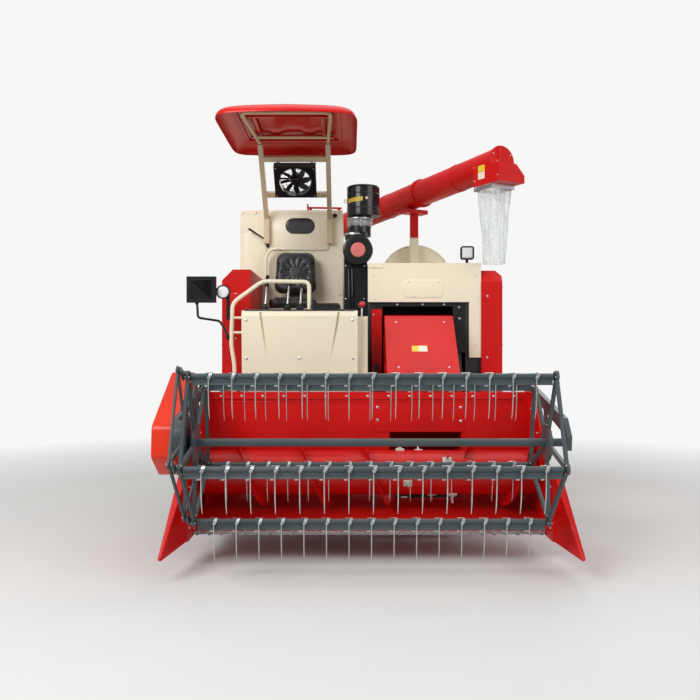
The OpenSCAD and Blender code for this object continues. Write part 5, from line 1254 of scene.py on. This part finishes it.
post = Vector((ELEVATOR.x + reach.x * POST_AWAY, ELEVATOR.y + reach.y * POST_AWAY, 0))
post_cream.block(post + Vector((-0.0375, -0.0375, 2.0515)), post + Vector((0.0375, 0.0375, POST_TOP)))
post_cream.block(post + Vector((-0.075, -0.060, 2.0503)), post + Vector((0.075, 0.060, 2.0583)))
post_bolts.bolts([post + Vector((sx * 0.058, sy * 0.042, 2.058)) for sx, sy in CORNERS], Z)
for z in (0.800, 2.440):
    post_bolts.bolts(circle(Vector((ELEVATOR.x, ELEVATOR.y, z)), 0.119, 10, 18, (X, Y)), Z, 0.005)
for k in range(UPRIGHTS):
    y = MESH_Y[0] + k * (MESH_Y[1] - MESH_Y[0]) / (UPRIGHTS - 1)
    mesh.block(at(HINGE_X + 0.018, y - WIRE, MESH_Z[0]), at(HINGE_X + 0.0196, y + WIRE, MESH_Z[1]))
for k in range(CROSS_WIRES):
    z = MESH_Z[0] + k * (MESH_Z[1] - MESH_Z[0]) / (CROSS_WIRES - 1)
    mesh.block(at(HINGE_X + 0.0196, MESH_Y[0] - OVERLAP, z - WIRE),
               at(HINGE_X + 0.0212, MESH_Y[1] + OVERLAP, z + WIRE))
screen_latch.block(at(HINGE_X - 0.004, 1.250, 1.36), at(HINGE_X + 0.001, 1.285, 1.44))
screen_latch.turned(at(HINGE_X - 0.003, 1.268, 1.40), -X, [(0, 0.014), (0.010, 0.013), (0.014, 0.008)], 20)
LOUVRE = ((-0.001, 0.030), (0.010, 0.0), (0.010, -0.006), (-0.001, -0.006))
for z in (1.10, 1.22, 1.34, 1.46):
    hood.loops([[at(x, HOOD_Y + d, z + h) for d, h in LOUVRE] for x in (0.18, 0.75)])
for side, x in ((LEFT, 0.0260), (RIGHT, 0.9030)):
    hood.field(at(x, 4.235, 1.42), Y * side, Z, (0.20, 0.50), rise=0.006, corner=0.03)
for seat in grid((0.080, 0.850), HOOD_Y - 0.001, 1.66):
    red_lamps.turned(seat, Y, [(0, 0.040), (0.012, 0.040), (0.020, 0.034), (0.023, 0.020)], 28)
post_bolts.bolts(grid((0.15, 0.465, 0.78), HOOD_Y, (1.02, 1.55, 1.72)), Y, 0.007)
build(lens, bezels, post_cream, mesh, screen_latch, hood, red_lamps, post_bolts)

# %% [markdown]
# Low on the machine: tread plate on the operator's floor, a bolted cover on the gearbox, and the bolts and
# the pressed front of the engine housing.

# %% Tread plate and low fittings
studs, low_bolts = Shop("tread_plate", "slate_paint"), Shop("low_bolts", "bolt_zinc")
housing = Shop("housing_pressing", "red_paint")
GEARBOX_Y, HOUSING_X, HOUSING_Y = 1.200, -1.128, 1.170
DECK_RIGHT, DECK_Z, STUD_X, STUD_Y, STUD_SIZE = -0.05, 0.9997, 0.042, 0.029, (0.012, 0.004) * 2
for i in range(26):
    for j in range(6):
        x, y = -1.095 + STUD_X * (i + j % 2 / 2), 0.985 + STUD_Y * j
        if x < DECK_RIGHT:
            ways = circle(Vector(), 1, 4, 45 if (i + j) % 2 else -45, (X, Y))
            studs.loops([[at(x, y, DECK_Z + h) + way * (size * g) for way, size in zip(ways, STUD_SIZE)]
                         for h, g in ((-0.0005, 1), (0.0015, 0.6))])
low_bolts.bolts(grid((-0.185, 0.125), GEARBOX_Y, (0.36, 0.48, 0.60)) + grid(-0.03, GEARBOX_Y, (0.36, 0.60)),
                -Y, 0.010)
low_bolts.turned(at(-0.03, GEARBOX_Y, 0.46), -Y, [(-0.001, 0.090), (0.010, 0.088), (0.014, 0.070)], 36)
low_bolts.bolts(grid(HOUSING_X, (1.20, 1.60, 1.97), 0.80), -X)
low_bolts.bolts(grid(HOUSING_X, (1.20, 1.97), (1.2, 1.5, 1.80)), -X, 0.007)
low_bolts.bolts(grid(-1.02, HOUSING_Y, (1.10, 1.45, 1.80)), -Y, 0.007)
housing.field(at(-1.0165, HOUSING_Y, 1.40), X, Z, (0.15, 0.80), rise=0.005, corner=0.03)
build(studs, housing, low_bolts)

# %% [markdown]
# A pale floor that fades out into the backdrop keeps the machine's shadow and hides the horizon.

# %% Floor
FLOOR_FADE, FLOOR_HALF = (3.4, 7.0), 12  # the floor is whole up to the first distance and gone at the second
f = Finish("studio_floor", Specular_IOR_Level=0.2)
away = f.node("VectorMath", {"operation": "LENGTH"}, i0=f.place).outputs["Value"]
f.out(Base_Color=f.blend(f.speckle(2.5), (0.64, 0.64, 0.63), (0.67, 0.67, 0.66)), Roughness=0.75,
      Alpha=1 - f.wire(away).above(*FLOOR_FADE))
floor_mesh = bpy.data.meshes.new("floor")
floor_mesh.from_pydata([(sx * FLOOR_HALF, sy * FLOOR_HALF, 0) for sx, sy in CORNERS], [], [(0, 1, 2, 3)])
floor = bpy.data.objects.new("floor", floor_mesh)
floor.location = (0, MACHINE.y, 0)
floor_mesh.materials.append(f.material)
scene.collection.objects.link(floor)
